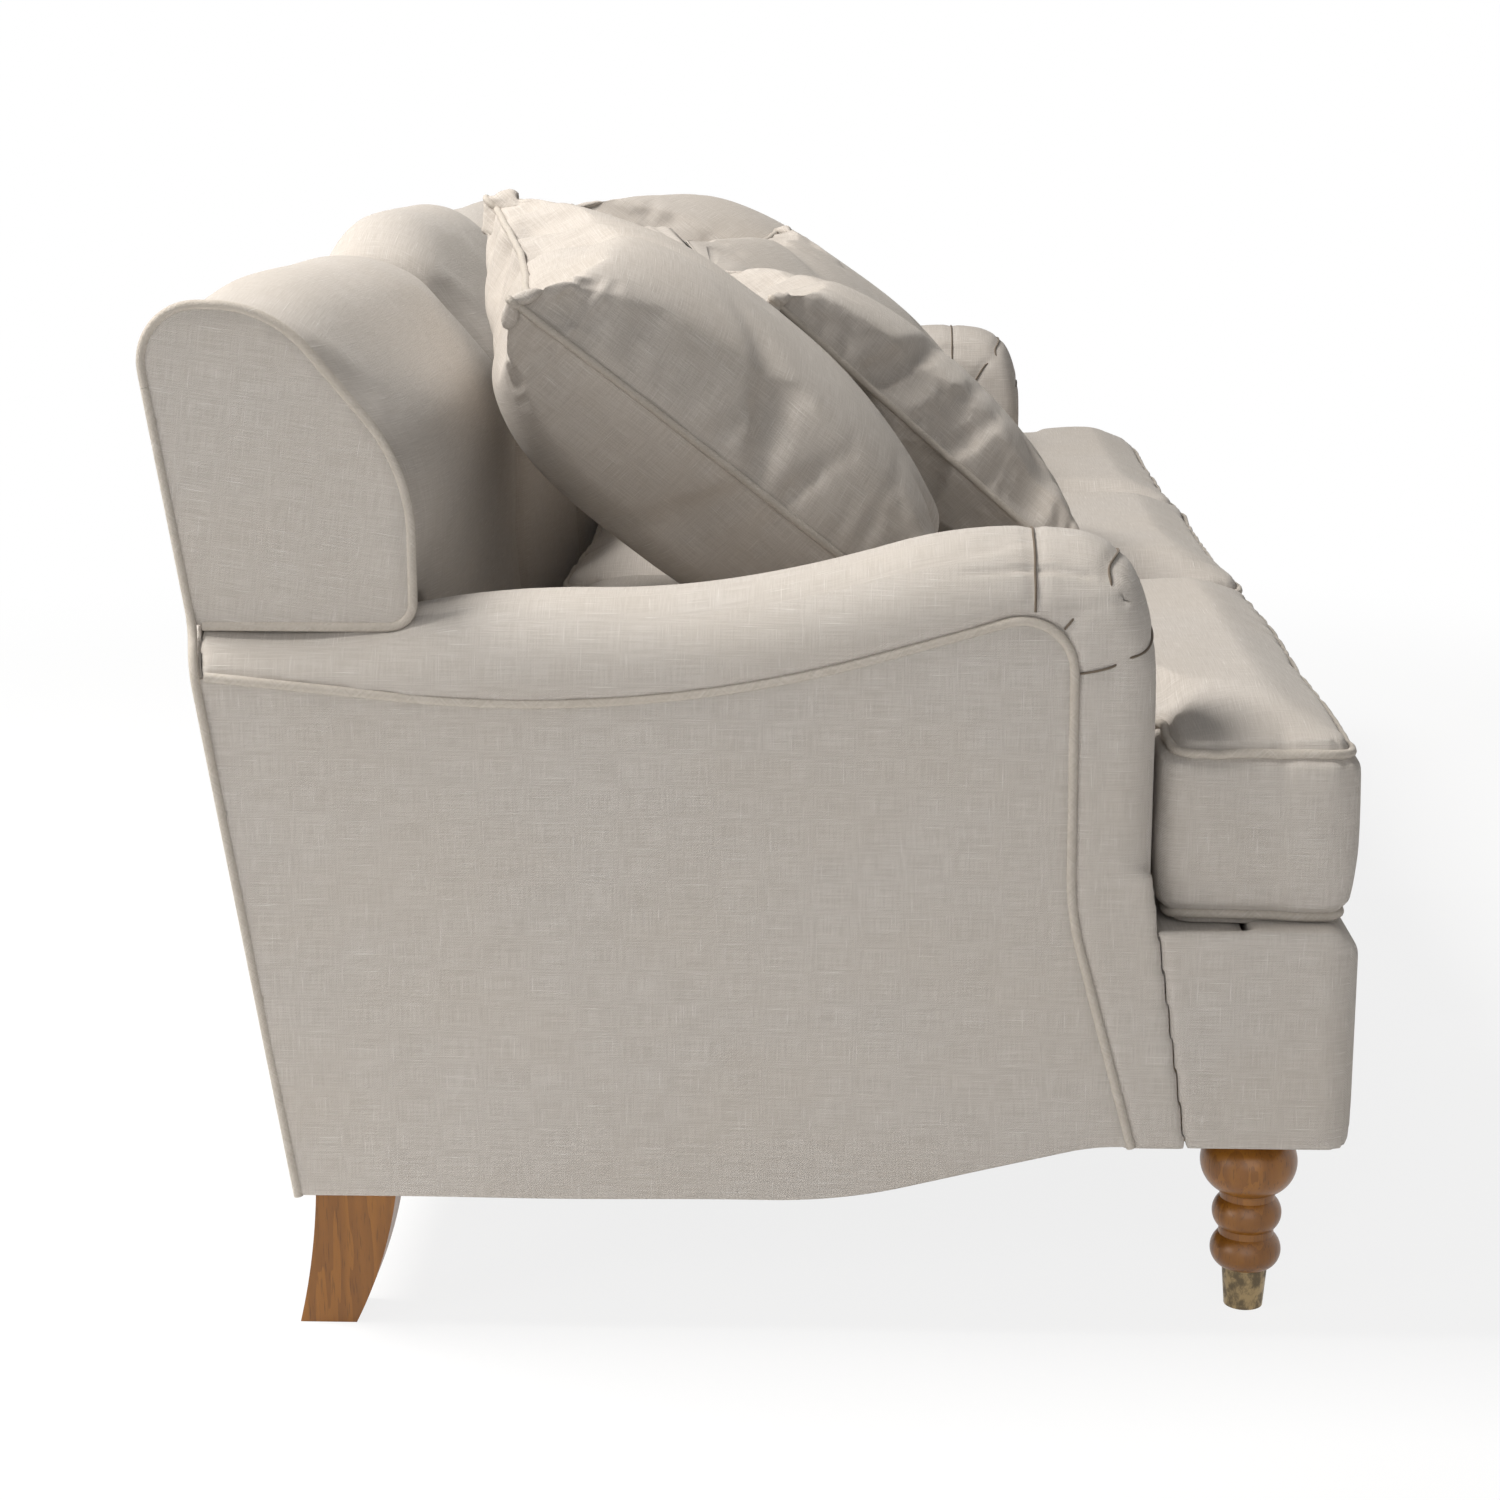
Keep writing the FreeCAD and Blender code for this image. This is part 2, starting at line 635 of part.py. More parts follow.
# Legs
leg_x = half_width - size("leg_inset")
leg_y = front_plane + size("leg_setback")
rear_bolt_x = (rail_inner + skin) / 2
rear_bolt_y = rear_plane - size("rear_leg_setin") + size("rear_leg_depth") / 2


def make_front_leg(name, side):
    """A turned leg with two beads and a bulb, in a tapered brass cup."""
    bore = size("bolt_radius") + size("wood_gap")
    neck = size("neck_radius")
    top = size("front_underside")
    seat = size("ferrule_height") + gap
    wall = size("ferrule_wall")
    levels = [seat]
    for height in ("lower_bead_height", "neck_height", "upper_bead_height", "neck_height", "bulb_height"):
        levels.append(levels[-1] + size(height))
    leg = turned(f"front_leg_{name}", [
        (0, wall + gap),
        (size("ferrule_foot_radius") - wall - gap, wall + gap),
        (size("ferrule_mouth_radius") - wall - gap, seat),
        (neck, levels[0], size("bead_curve"), -1),
        (neck, levels[1]),
        (neck, levels[2], size("bead_curve"), -1),
        (neck, levels[3]),
        (neck, levels[4], size("bulb_curve"), -1),
        (neck + size("collar_step"), levels[5]),
        (size("collar_radius"), levels[5] + size("collar_step") / 2),
        (size("collar_radius"), top),
        (bore, top),
        (bore, top - size("bolt_grip") - 1),
        (0, top - size("bolt_grip") - 1),
    ])
    keep(f"front_leg_{name}", place(leg, side * leg_x, leg_y))
    ferrule = turned(f"ferrule_{name}", [
        (0, 0),
        (size("ferrule_foot_radius"), 0),
        (size("ferrule_mouth_radius"), size("ferrule_height")),
        (size("ferrule_mouth_radius") - wall, size("ferrule_height")),
        (size("ferrule_foot_radius") - wall, wall),
        (0, wall),
    ])
    keep(f"ferrule_{name}", place(ferrule, side * leg_x, leg_y))


def make_rear_leg(name, side):
    """A sabre leg, drilled for its bolt."""
    top = size("side_underside")
    front_y = rear_plane - size("rear_leg_setin")
    foot_y = front_y + size("rear_foot_kick")
    blank = padded(f"rear_leg_{name}_blank", "YZ_Plane", [
        (foot_y, 0),
        (foot_y + size("rear_foot_depth"), 0, size("rear_leg_rear_curve"), 1),
        (front_y + size("rear_leg_depth"), top),
        (front_y, top, size("rear_leg_front_curve"), -1),
    ], size("rear_leg_thickness"))
    place(blank, outward(side, skin - size("rear_leg_thickness"), skin)[0])
    hole = cylinder(f"rear_leg_{name}_hole", size("bolt_radius") + size("wood_gap"),
                    size("bolt_grip") + 1, side * rear_bolt_x, rear_bolt_y, top - size("bolt_grip"))
    keep(f"rear_leg_{name}", cut(f"rear_leg_{name}", blank, hole))


def make_legs():
    """Two turned front legs, two sabre rear legs and the bolts that hold them."""
    bolts = []
    grip = size("bolt_grip")
    for name, side in SIDES.items():
        make_front_leg(name, side)
        make_rear_leg(name, side)
        bolts.append(cylinder(f"front_bolt_{name}", size("bolt_radius"), grip * 2 - gap, side * leg_x, leg_y,
                              size("front_underside") - grip))
        bolts.append(cylinder(f"rear_bolt_{name}", size("bolt_radius"), grip * 2 - gap, side * rear_bolt_x,
                              rear_bolt_y, size("side_underside") - grip + gap))
    keep("hanger_bolts", group("hanger_bolts", bolts))


# Seat suspension
def spring_centres():
    """X of each seat spring."""
    count = int(float(size("seat_count")) * float(size("springs_per_seat")))
    pitch = float(arm_inner) * 2 / count
    return [(index + 0.5) * pitch - float(arm_inner) for index in range(count)]


def make_suspension():
    """Zigzag springs from the front rail to the rear rail, held by a clip at each end."""
    wire = float(size("spring_wire"))
    reach = float(size("spring_width")) / 2
    count = int(float(size("spring_waves"))) * 2
    height = float(size("rail_top")) + float(size("clip_height")) / 2
    clip_centre = float(size("clip_width")) / 2 + float(size("spring_edge"))
    start_y = float(rail_front) + clip_centre
    end_y = float(rear_rail_front(size("rail_top"))) + clip_centre
    half_wave = (end_y - start_y) / count
    edges = []
    direction = 1
    for index in range(count):
        y = start_y + index * half_wave
        edges.append(run(Vector(-direction * reach, y, height), Vector(direction * reach, y, height)))
        edges.append(Part.Arc(Vector(direction * reach, y, height),
                              Vector(direction * (reach + half_wave / 2), y + half_wave / 2, height),
                              Vector(direction * reach, y + half_wave, height)).toShape())
        direction = -direction
    edges.append(run(Vector(-direction * reach, end_y, height), Vector(direction * reach, end_y, height)))
    spring = cord_along(Part.Wire(edges), wire)
    print(f"least gap between spring turns: {half_wave - 2 * wire:.1f} mm")
    springs = [spring.translated(Vector(x, 0, 0)) for x in spring_centres()]
    soft("seat_springs", Part.makeCompound(springs))
    length, width, tall = (float(size(part)) for part in ("clip_length", "clip_width", "clip_height"))
    clip = Part.makeBox(length, width, tall, Vector(-length / 2, -width / 2, 0))
    clip = clip.cut(Part.makeCylinder(wire + float(size("wood_gap")), length + 2,
                                      Vector(-length / 2 - 1, 0, tall / 2), Vector(1, 0, 0)))
    clips = [clip.translated(Vector(x, y, float(size("rail_top"))))
             for x in spring_centres() for y in (start_y, end_y)]
    soft("spring_clips", Part.makeCompound(clips))


def make_deck():
    """The padded deck under the cushions, with an ear in front of each arm, and the dust cover."""
    clear = float(gap)
    low = float(size("rail_top") + size("clip_height")) + clear
    high = float(size("deck_top"))
    front = float(border_front + size("border_depth")) + clear
    rear = float(frame_front(size("deck_top"))) - clear
    ear_rear = float(arm_front) - clear
    side = float(arm_inner) - clear
    deck = span_block((-side, side), (front, rear), (low, high))
    ears = span_block((-float(skin) + clear, float(skin) - clear), (front, ear_rear), (low, high))
    soft("seat_deck_pad", deck.fuse(ears).removeSplitter())
    make_dust_cover()


def make_dust_cover():
    """A thin cloth under the seat frame, cut round the front legs and the back posts."""
    top = size("front_underside")
    base = top - size("dust_cover_thickness")
    leg_side = leg_x - size("collar_radius") - gap
    leg_rear = leg_y + size("collar_radius") + gap
    post_side = rail_inner - size("post_width") - gap
    post_front = frame_front(base) - gap
    half = [
        (leg_side, rail_rear),
        (leg_side, leg_rear),
        (rail_inner, leg_rear),
        (rail_inner, post_front),
        (post_side, post_front),
        (post_side, rear_rail_front(base) - gap),
    ]
    outline = half + [(-x, y) for x, y in half[::-1]]
    cloth = padded("dust_cover", "XY_Plane", outline, size("dust_cover_thickness"))
    keep("dust_cover", place(cloth, 0, 0, base))


# Covers of the arms
def panel_edge(side_x, lift):
    """The top and front edge of the outer arm panel as a path, at one X."""
    front = float(front_plane + size("panel_setback"))
    rear_height = float(size("panel_rear_height"))
    points = [
        (float(front_plane + size("panel_toe_setback")), float(cover_low)),
        (front - float(size("panel_lean")), float(size("panel_toe_height"))),
        (front, float(size("panel_corner_height"))),
        (float(front_plane + size("panel_dip_setback")), float(size("panel_dip_height"))),
        (raked_y(rear_height) + lift, rear_height),
    ]
    vectors = [Vector(side_x, y, z) for y, z in points]
    return rounded_path(vectors, [float(size(name)) for name in (
        "panel_toe_radius", "panel_corner_radius", "panel_dip_radius")])


def scallop_edge(side_x):
    """The lower edge of the outer arm panel, from its toe to the rear."""
    high = float(cover_low)
    low = float(size("side_underside") - size("cover_drop"))
    points = [
        Vector(side_x, float(front_plane + size("panel_toe_setback")), high),
        Vector(side_x, float(front_plane + size("scallop_front_setback")), high),
        Vector(side_x, float(front_plane + size("scallop_rear_setback")), low),
        Vector(side_x, raked_y(low), low),
    ]
    return rounded_path(points, (float(size("scallop_front_radius")), float(size("scallop_rear_radius"))))


def panel_prism(side_x, depth, lift):
    """The outer arm panel as a plate from one X over a depth."""
    top = panel_edge(side_x, lift)
    bottom = scallop_edge(side_x)
    rear = run(top.OrderedVertexes[-1].Point, bottom.OrderedVertexes[-1].Point)
    outline = Part.Wire(Part.sortEdges(top.Edges + bottom.Edges + [rear])[0])
    return Part.Face(outline).extrude(Vector(depth, 0, 0))


def arm_section(side, y, top, roll, inset):
    """The upright outline of a padded arm at one Y: straight sides under a round top of a given rise."""
    outer = float(half_width) - inset
    inner = float(arm_inner) + inset
    half = (outer - inner) / 2
    middle = side * (outer + inner) / 2
    shoulder = top - roll
    radius = (half ** 2 + roll ** 2) / (2 * roll)
    turn = math.atan2(half, radius - roll) / 2
    across = radius * math.sin(turn)
    fall = radius * (1 - math.cos(turn))
    left = Vector(middle - half, y, float(cover_low))
    left_top = Vector(middle - half, y, shoulder)
    crown = Vector(middle, y, top)
    right_top = Vector(middle + half, y, shoulder)
    right = Vector(middle + half, y, float(cover_low))
    return Part.Wire([
        run(left, left_top),
        Part.Arc(left_top, Vector(middle - across, y, top - fall), crown).toShape(),
        Part.Arc(crown, Vector(middle + across, y, top - fall), right_top).toShape(),
        run(right_top, right),
        run(right, left),
    ])


def arm_form(side, grow):
    """The full padded arm before the frame is taken out of it, grown evenly to cut its neighbours."""
    nose = float(arm_front)
    depth = float(size("arm_nose_depth"))
    peak = float(size("arm_peak_height"))
    drop = float(size("arm_nose_drop"))
    inset = float(size("arm_nose_inset"))
    full = float(size("arm_width")) / 2
    rear_top = float(size("arm_rear_height"))
    stations = [
        (nose, peak - drop, full - inset, inset),
        (nose + depth * 0.15, peak - drop * 0.62, full - inset * 0.35, inset * 0.35),
        (nose + depth * 0.5, peak - drop * 0.24, full, 0),
        (nose + depth, peak - drop * 0.06, full, 0),
        (float(front_plane + size("arm_peak_setback")), peak, full, 0),
        (float(front_plane + size("arm_middle_setback")), float(size("arm_middle_height")), full, 0),
        (float(front_plane + size("arm_hollow_setback")), float(size("arm_hollow_height")), full, 0),
        (float(front_plane + size("arm_rear_setback")), rear_top, float(size("arm_roll_meeting")), 0),
        (float(rear_plane), rear_top, float(size("arm_roll_rear")), 0),
    ]
    sections = [arm_section(side, y, top + grow, roll, inset - grow) for y, top, roll, inset in stations]
    inner, outer = side * (float(arm_inner) - grow), side * (float(half_width) + grow)
    bounds = span_block((inner, outer), (nose, float(rear_plane)), (0, peak + grow))
    return smooth_loft(sections).common(bounds)


def behind_back(offset, x_range):
    """The space behind a plane that runs parallel to the raked back, between two X planes."""
    reach = float(size("sofa_depth"))
    start, end = x_range
    points = [
        Vector(start, raked_y(0) - offset, 0),
        Vector(start, raked_y(reach) - offset, reach),
        Vector(start, reach * 2, reach),
        Vector(start, reach * 2, 0),
    ]
    return polygon_prism(points, Vector(end - start, 0, 0))


def raked_y(height):
    """Y of the outside of the back at a height given as a plain number."""
    return float(rear_face(height))


def welt_paths(side):
    """The routes of the three welts on one side: round the arm panel, the back's end and the rear edge."""
    arm_x = side * float(half_width - size("welt_radius") + size("welt_stand"))
    end_x = side * float(back_half_width - size("welt_radius") + size("welt_stand"))
    thickness = float(size("welt_radius")) * 2 + float(gap)
    base = float(end_panel_base)
    shoulder = float(size("arm_rear_height") - size("arm_roll_rear"))
    foot = float(size("side_underside") - size("cover_drop"))
    head = float(size("frame_top"))
    end_points, end_radii = end_corners(end_x)
    start = Vector(end_x, raked_y(base) - thickness, base)
    finish = Vector(end_x, raked_y(head), head)
    rear_points = [Vector(x, raked_y(z), z) for x, z in (
        (arm_x, foot), (arm_x, shoulder), (end_x, base), (end_x, head - float(gap)))]
    return {
        "arm_welt": panel_edge(arm_x, -thickness),
        "back_end_welt": rounded_path([start] + end_points + [finish], end_radii),
        "rear_edge_welt": rounded_path(rear_points, [float(size("rear_welt_bend"))] * 2),
    }


def without_welts(shape, side):
    """A cover with a groove for each welt that runs along it."""
    for path in welt_paths(side).values():
        shape = shape.cut(cord_along(path, float(size("welt_radius") + size("welt_gap"))))
    return shape


def make_arm_covers(name, side):
    """The stuffed arm, its flat outer panel and the welts of this side."""
    clear = float(gap)
    outer = side * float(half_width)
    skin_x = side * (float(skin) + clear)
    wood_x = side * (float(arm_wood_inner) - clear)
    thickness = float(size("cover")) - clear
    reach = float(size("sofa_depth"))
    panel = panel_prism(outer, -side * thickness, 0)
    beyond = side * float(size("cover"))
    panel_space = panel_prism(outer + beyond, -beyond * 2 - side * clear, reach / 10)
    rail_y = float(stump_front) - clear
    hollow = polygon_prism([
        Vector(skin_x, rail_y, 0),
        Vector(skin_x, rail_y, float(arm_rail_top(rail_y)) + clear),
        Vector(skin_x, reach, float(arm_rail_top(reach)) + clear),
        Vector(skin_x, reach, 0),
    ], Vector(wood_x - skin_x, 0, 0))
    seat_space = span_block((skin_x, side * float(seat_edge)), (-reach, reach),
                            (0, float(size("rail_top")) + clear))
    flare = polygon_prism([
        Vector(outer, float(arm_front), float(size("arm_flare_height"))),
        Vector(outer, float(arm_front - size("arm_flare")), float(cover_low)),
        Vector(outer, float(stump_front), float(cover_low)),
        Vector(outer, float(stump_front), float(size("arm_flare_height"))),
    ], Vector(-side * thickness, 0, 0))
    pad = arm_form(side, 0).cut(hollow).cut(seat_space)
    post = (side * float(rail_inner - size("post_width") - gap), side * float(rail_inner + gap))
    pad = pad.cut(behind_back(float(frame_depth) + clear, post))
    pad = pad.cut(behind_back(float(size("back_cover")) + clear, (wood_x - outer, outer * 2)))
    pad = pad.fuse(flare).cut(panel_space)
    soft(f"arm_pad_{name}", solid_of(without_welts(pad, side)))
    trimmed = panel.cut(behind_back(0, (0, outer * 2)))
    soft(f"outer_arm_panel_{name}", solid_of(without_welts(trimmed, side)))
    for label, path in welt_paths(side).items():
        soft(f"{label}_{name}", cord_along(path, float(size("welt_radius"))))


def make_front_border():
    """The padded front below the cushions, which wraps round to the arm fronts."""
    clear = float(gap)
    low = float(cover_low)
    top = float(size("border_top"))
    face = float(border_front)
    roll = float(size("border_roll"))
    curl = float(size("border_curl"))
    curl_top = low + float(size("border_curl_height"))
    half = float(half_width)
    thickness = float(size("cover")) - clear
    rail_face = float(rail_front) - clear
    rail_high = float(size("rail_top") + size("clip_height")) + clear
    depth = face + float(size("border_depth"))
    front_half = float(skin) + clear
    front = rounded_loop([Vector(-front_half, y, z) for y, z in (
        (face + curl, low), (face, curl_top), (face, top), (depth, top),
        (depth, rail_high), (rail_face, rail_high), (rail_face, low))], [0, 0, roll, 0, 0, 0, 0])
    border = Part.Face(front).extrude(Vector(2 * front_half, 0, 0))
    flare_top = float(size("arm_flare_height"))
    sweep = float(size("arm_flare")) / (flare_top - low)
    rear_at_top = float(arm_front) - clear - sweep * (flare_top - top)
    rear_at_low = float(arm_front - size("arm_flare")) - clear
    for side in SIDES.values():
        end = rounded_loop([Vector(side * half, y, z) for y, z in (
            (face + curl, low), (face, curl_top), (face, top), (rear_at_top, top), (rear_at_low, low))],
            [0, 0, roll, 0, 0])
        border = border.fuse(Part.Face(end).extrude(Vector(-side * thickness, 0, 0)))
    corner = float(size("border_corner"))
    plan = rounded_loop([Vector(x, y, 0) for x, y in (
        (-half, face), (half, face), (half, float(arm_front)), (-half, float(arm_front)))], [corner, corner, 0, 0])
    border = border.common(Part.Face(plan).extrude(Vector(0, 0, top)))
    soft("front_border", solid_of(border.removeSplitter()))


# Back padding
def rolled_corners(x, swell, rise):
    """Bend, brow and crest of the back's outline at one X, with their radii."""
    front = float(rear_plane - size("back_depth")) - swell
    top = float(size("back_end_top")) + rise
    bend = float(size("back_bend_height")) + rise * 0.4
    brow = front + (top - bend) / math.tan(math.radians(float(size("back_roll_angle"))))
    crest = raked_y(float(size("back_end_top")))
    points = [Vector(x, front, bend), Vector(x, brow, top), Vector(x, crest, top)]
    radii = [
        float(size("back_bend_radius")),
        float(size("back_brow_radius")) - rise * 0.6,
        float(size("back_crest_radius")) + rise * 0.3,
    ]
    return points, radii


def back_section(x, swell, rise):
    """The upright outline of the back padding at one X."""
    low = float(size("deck_top")) + float(gap)
    high = float(size("frame_top")) + float(gap)
    web = float(frame_depth) + float(size("web_thickness")) + float(gap)
    points, radii = rolled_corners(x, swell, rise)
    foot = Vector(x, float(rear_plane - size("back_foot_depth")), low)
    chest = Vector(x, points[0].y, float(size("back_chest_height")))
    rear = [
        Vector(x, raked_y(high), high),
        Vector(x, raked_y(high) - web, high),
        Vector(x, raked_y(low) - web, low),
    ]
    return rounded_loop([foot, chest] + points + rear, [0, float(size("back_chest_radius"))] + radii + [0, 0, 0])


def back_form(x_start, x_end, crown, pleats):
    """One crowned section of the back padding, drawn in where it meets a pleat."""
    swell = float(size("back_swell"))
    draw = float(size("pleat_depth"))
    shoulder = 0.93
    sections = []
    for share in (-1.0, -shoulder, -0.66, 0.0, 0.66, shoulder, 1.0):
        x = (x_start + x_end) / 2 + share * (x_end - x_start) / 2
        dome = 1 - share ** 4
        pull = draw * max(0.0, (abs(share) - shoulder) / (1 - shoulder)) * pleats[share > 0]
        sections.append(back_section(x, swell * dome - pull, crown * dome - pull * 0.3))
    return smooth_loft(sections)


def make_back_padding():
    """Three crowned sections with a pleat between neighbours, and a padded panel on each end."""
    clear = float(gap)
    seam = float(seat_edge) - clear / 2
    end = float(back_pad_half_width) - clear
    middle = back_form(-seam, seam, float(size("back_middle_crown")), (1, 1))
    soft("back_pad_centre", solid_of(middle))
    for name, side in SIDES.items():
        form = back_form(side * (seam + clear), side * end, float(size("back_side_crown")), (1, 0))
        arm = arm_form(side, clear)
        soft(f"back_pad_{name}", solid_of(form.cut(arm)))
        plate = end_plate(side).cut(arm)
        soft(f"back_end_panel_{name}", solid_of(without_welts(plate, side)))


def end_corners(x):
    """The rounded corners of a back end panel from its lower front one over to its crest."""
    points, radii = rolled_corners(x, 0, 0)
    lower = Vector(x, points[0].y, float(end_panel_base))
    return [lower] + points, [float(size("end_panel_corner"))] + radii


def end_plate(side):
    """A back end panel before the arm below it is taken away."""
    x = side * float(back_pad_half_width)
    points, radii = end_corners(x)
    base = float(end_panel_base)
    outline = rounded_loop([Vector(x, raked_y(base), base)] + points, [0] + radii)
    return Part.Face(outline).extrude(Vector(side * float(size("end_panel_thickness")), 0, 0))


def make_outside_back():
    """The thin cover behind the frame: wide behind the arms and narrower above them."""
    half_low = float(skin - gap)
    half_high = float(back_pad_half_width - gap)
    foot = float(size("side_underside") - size("cover_drop"))
    shoulder = float(size("arm_rear_height") - size("arm_roll_rear"))
    outline = [(half_low, foot), (half_low, shoulder), (half_high, float(end_panel_base)),
               (half_high, float(size("frame_top")))]
    outline += [(-x, z) for x, z in outline[::-1]]
    points = [Vector(x, raked_y(z), z) for x, z in outline]
    sheet_of_cloth = polygon_prism(points, Vector(0, -float(size("back_cover")), 0))
    for side in SIDES.values():
        sheet_of_cloth = without_welts(sheet_of_cloth, side)
    soft("outside_back_panel", solid_of(sheet_of_cloth))


# Seat cushions
def cushion_outline(side, height, inset, radius, ear):
    """The plan outline of a seat cushion at one height; side 0 is the plain middle cushion."""
    front = float(front_plane) + inset
    rear = float(rear_plane - size("cushion_rear_setin")) - inset
    if side == 0:
        seam = float(seat_edge - gap) - inset
        corners = [(-seam, front), (seam, front), (seam, rear), (-seam, rear)]
        radii = [radius] * 4
    else:
        inner = float(seat_edge + gap) + inset
        arm_side = float(arm_inner - gap * 2) - inset
        ear_rear = float(arm_front - size("ear_gap")) - min(inset, float(size("cushion_corner")))
        corners = [(arm_side + ear, front), (arm_side + ear, ear_rear), (arm_side, ear_rear),
                   (arm_side, rear), (inner, rear), (inner, front)]
        corners = [(side * x, y) for x, y in corners]
        radii = [radius, radius, min(radius, float(size("ear_corner"))), radius, radius, radius]
    return rounded_loop([Vector(x, y, height) for x, y in corners], radii)


def cushion_form(side, shrink):
    """A seat cushion with drawn-in seams and a crowned top, shrunk evenly for its core."""
    base = float(cushion_base)
    height = float(size("cushion_height"))
    tuck = float(size("cushion_tuck"))
    crown = float(size("cushion_crown"))
    corner = float(size("cushion_corner"))
    dome = float(size("cushion_dome"))
    ear = float(half_width - size("ear_inset") - arm_inner + gap * 2)
    levels = [
        (base + shrink, tuck * 1.3, corner, ear),
        (base + tuck * 0.7 + shrink * 0.9, tuck * 0.55, corner, ear),
        (base + height * 0.32, 0, corner, ear),
        (base + height * 0.68, 0, corner, ear),
        (base + height - shrink * 0.5, tuck * 0.6, corner, ear),
        (base + height + crown * 0.35 - shrink, tuck * 2.2, corner * 0.8, ear),
        (base + height + crown * 0.8 - shrink, dome * 0.63, corner / 2, ear * 0.62),
        (base + height + crown - shrink, dome, corner * 0.36, ear * 0.4),
    ]
    return smooth_loft([cushion_outline(side, level, inset + shrink, radius, ear_length)
                        for level, inset, radius, ear_length in levels])


def make_cushions():
    """Two end cushions with an ear in front of the arm and a plain middle one, each with a core."""
    wall = float(size("cushion_wall"))
    for name, side in CUSHIONS.items():
        cover = solid_of(cushion_form(side, 0))
        hollow = solid_of(cushion_form(side, wall))
        soft(f"seat_cushion_{name}", solid_of(cover.cut(hollow)))
        soft(f"seat_core_{name}", solid_of(cushion_form(side, wall + float(gap))))


# Throw pillows
def pillow_outline(width, corner_share, middle_share, waist, level):
    """A four-sided outline of arcs through the corners and the middles of the sides."""
    corner = width / 2 * corner_share
    middle = width / 2 * middle_share - waist
    corners = [(corner, corner), (-corner, corner), (-corner, -corner), (corner, -corner)]
    middles = [(0, middle), (-middle, 0), (0, -middle), (middle, 0)]
    edges = []
    for index, (x, y) in enumerate(middles):
        start, end = corners[index], corners[(index + 1) % 4]
        edges.append(Part.Arc(Vector(*start, level), Vector(x, y, level), Vector(*end, level)).toShape())
    return Part.Wire(edges)


def pillow_form(name, grow):
    """A plump pillow in its place: square at its seam, rounder and smaller towards both faces."""
    width = float(size(f"{name}_width")) + grow * 2
    front = float(size(f"{name}_front")) + grow
    rear = float(size(f"{name}_rear")) + grow
    waist = float(size("pillow_waist"))
    rings = [
        (1.0, 0.20, 0.26, 0.0),
        (0.90, 0.44, 0.56, 0.0),
        (0.66, 0.66, 0.77, 0.0),
        (0.34, 0.85, 0.93, 0.35),
        (0.10, 0.965, 0.99, 0.85),
    ]
    levels = [(-rear * share, corner, middle, pull) for share, corner, middle, pull in rings]
    levels.append((0.0, 1.0, 1.0, 1.0))
    levels += [(front * share, corner, middle, pull) for share, corner, middle, pull in rings[::-1]]
    form = smooth_loft([pillow_outline(width, corner, middle, waist * pull, level)
                        for level, corner, middle, pull in levels])
    form.Placement = pillow_place(name)
    return form


def pillow_place(name):
    """Where a pillow lies: turned about the upright, leaned back, then rolled in its own plane."""
    side = SIDES[name.split("_")[1]]
    turn, lean, roll = (float(size(f"{name}_{part}")) for part in ("turn", "lean", "roll"))
    centre = Vector(
        side * float(arm_inner - size(f"{name}_from_arm")),
        float(rear_plane - size("back_depth") - size(f"{name}_from_back")),
        float(cushion_base + size("cushion_height") + size(f"{name}_over_seat")),
    )
    upright = Vector(0, 0, 1)
    rotation = Rotation(upright, turn) * Rotation(Vector(1, 0, 0), 90 - lean) * Rotation(upright, roll)
    return Placement(centre, rotation)


def make_pillows():
    """Four throw pillows, each pressed flat where it meets the seat, the back, an arm or another pillow."""
    clear = float(gap)
    seat = [solid_of(cushion_form(side, -clear)) for side in CUSHIONS.values()]
    back = [NODES[f"back_pad_{name}"].Shape.translated(Vector(0, -clear, clear)) for name in CUSHIONS]
    arms = [arm_form(side, clear) for side in SIDES.values()]
    pressed = []
    for name in PILLOWS:
        pillow = pillow_form(name, 0)
        for neighbour in seat + back + arms + pressed:
            if pillow.BoundBox.intersect(neighbour.BoundBox):
                pillow = pillow.cut(neighbour)
        kind, side = name.split("_")
        soft(f"throw_pillow_{kind}_{side}", solid_of(pillow))
        pressed.append(pillow_form(name, clear))


def make_all():
    """Every piece of the sofa."""
    make_seat_frame()
    make_arm_frame()
    make_back_frame()
    make_legs()
    make_suspension()
    make_deck()
    make_front_border()
    for name, side in SIDES.items():
        make_arm_covers(name, side)
    make_back_padding()
    make_outside_back()
    make_cushions()
    make_pillows()


make_all()
doc.recompute()

for item in doc.Objects:
    if "Invalid" in item.State or "Error" in item.State:
        raise RuntimeError(f"{item.Name} did not build: {item.State}")
for label, piece in NODES.items():
    if piece.Shape.isNull() or not piece.Shape.isValid():
        raise RuntimeError(f"{label} is not a valid shape")

os.makedirs("parts", exist_ok=True)
for label, piece in NODES.items():
    piece.Shape.exportStep(f"parts/{label}.step")
    print(f"{label}: {len(piece.Shape.Solids)} solids, {piece.Shape.Volume / 1e6:.2f} litres")
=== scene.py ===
"""Looks of the english roll arm sofa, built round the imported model.

Lengths are metres in the sofa's own frame: X runs along the seat, the front faces -Y,
Z is up and the origin is on the floor under the middle. Angles are degrees.
"""

import json
import logging
import math
from dataclasses import dataclass, field
from enum import Enum

import bmesh
import bpy
import numpy as np
from mathutils import Matrix, Vector
from mathutils.bvhtree import BVHTree
from mathutils.geometry import delaunay_2d_cdt
from mathutils.kdtree import KDTree


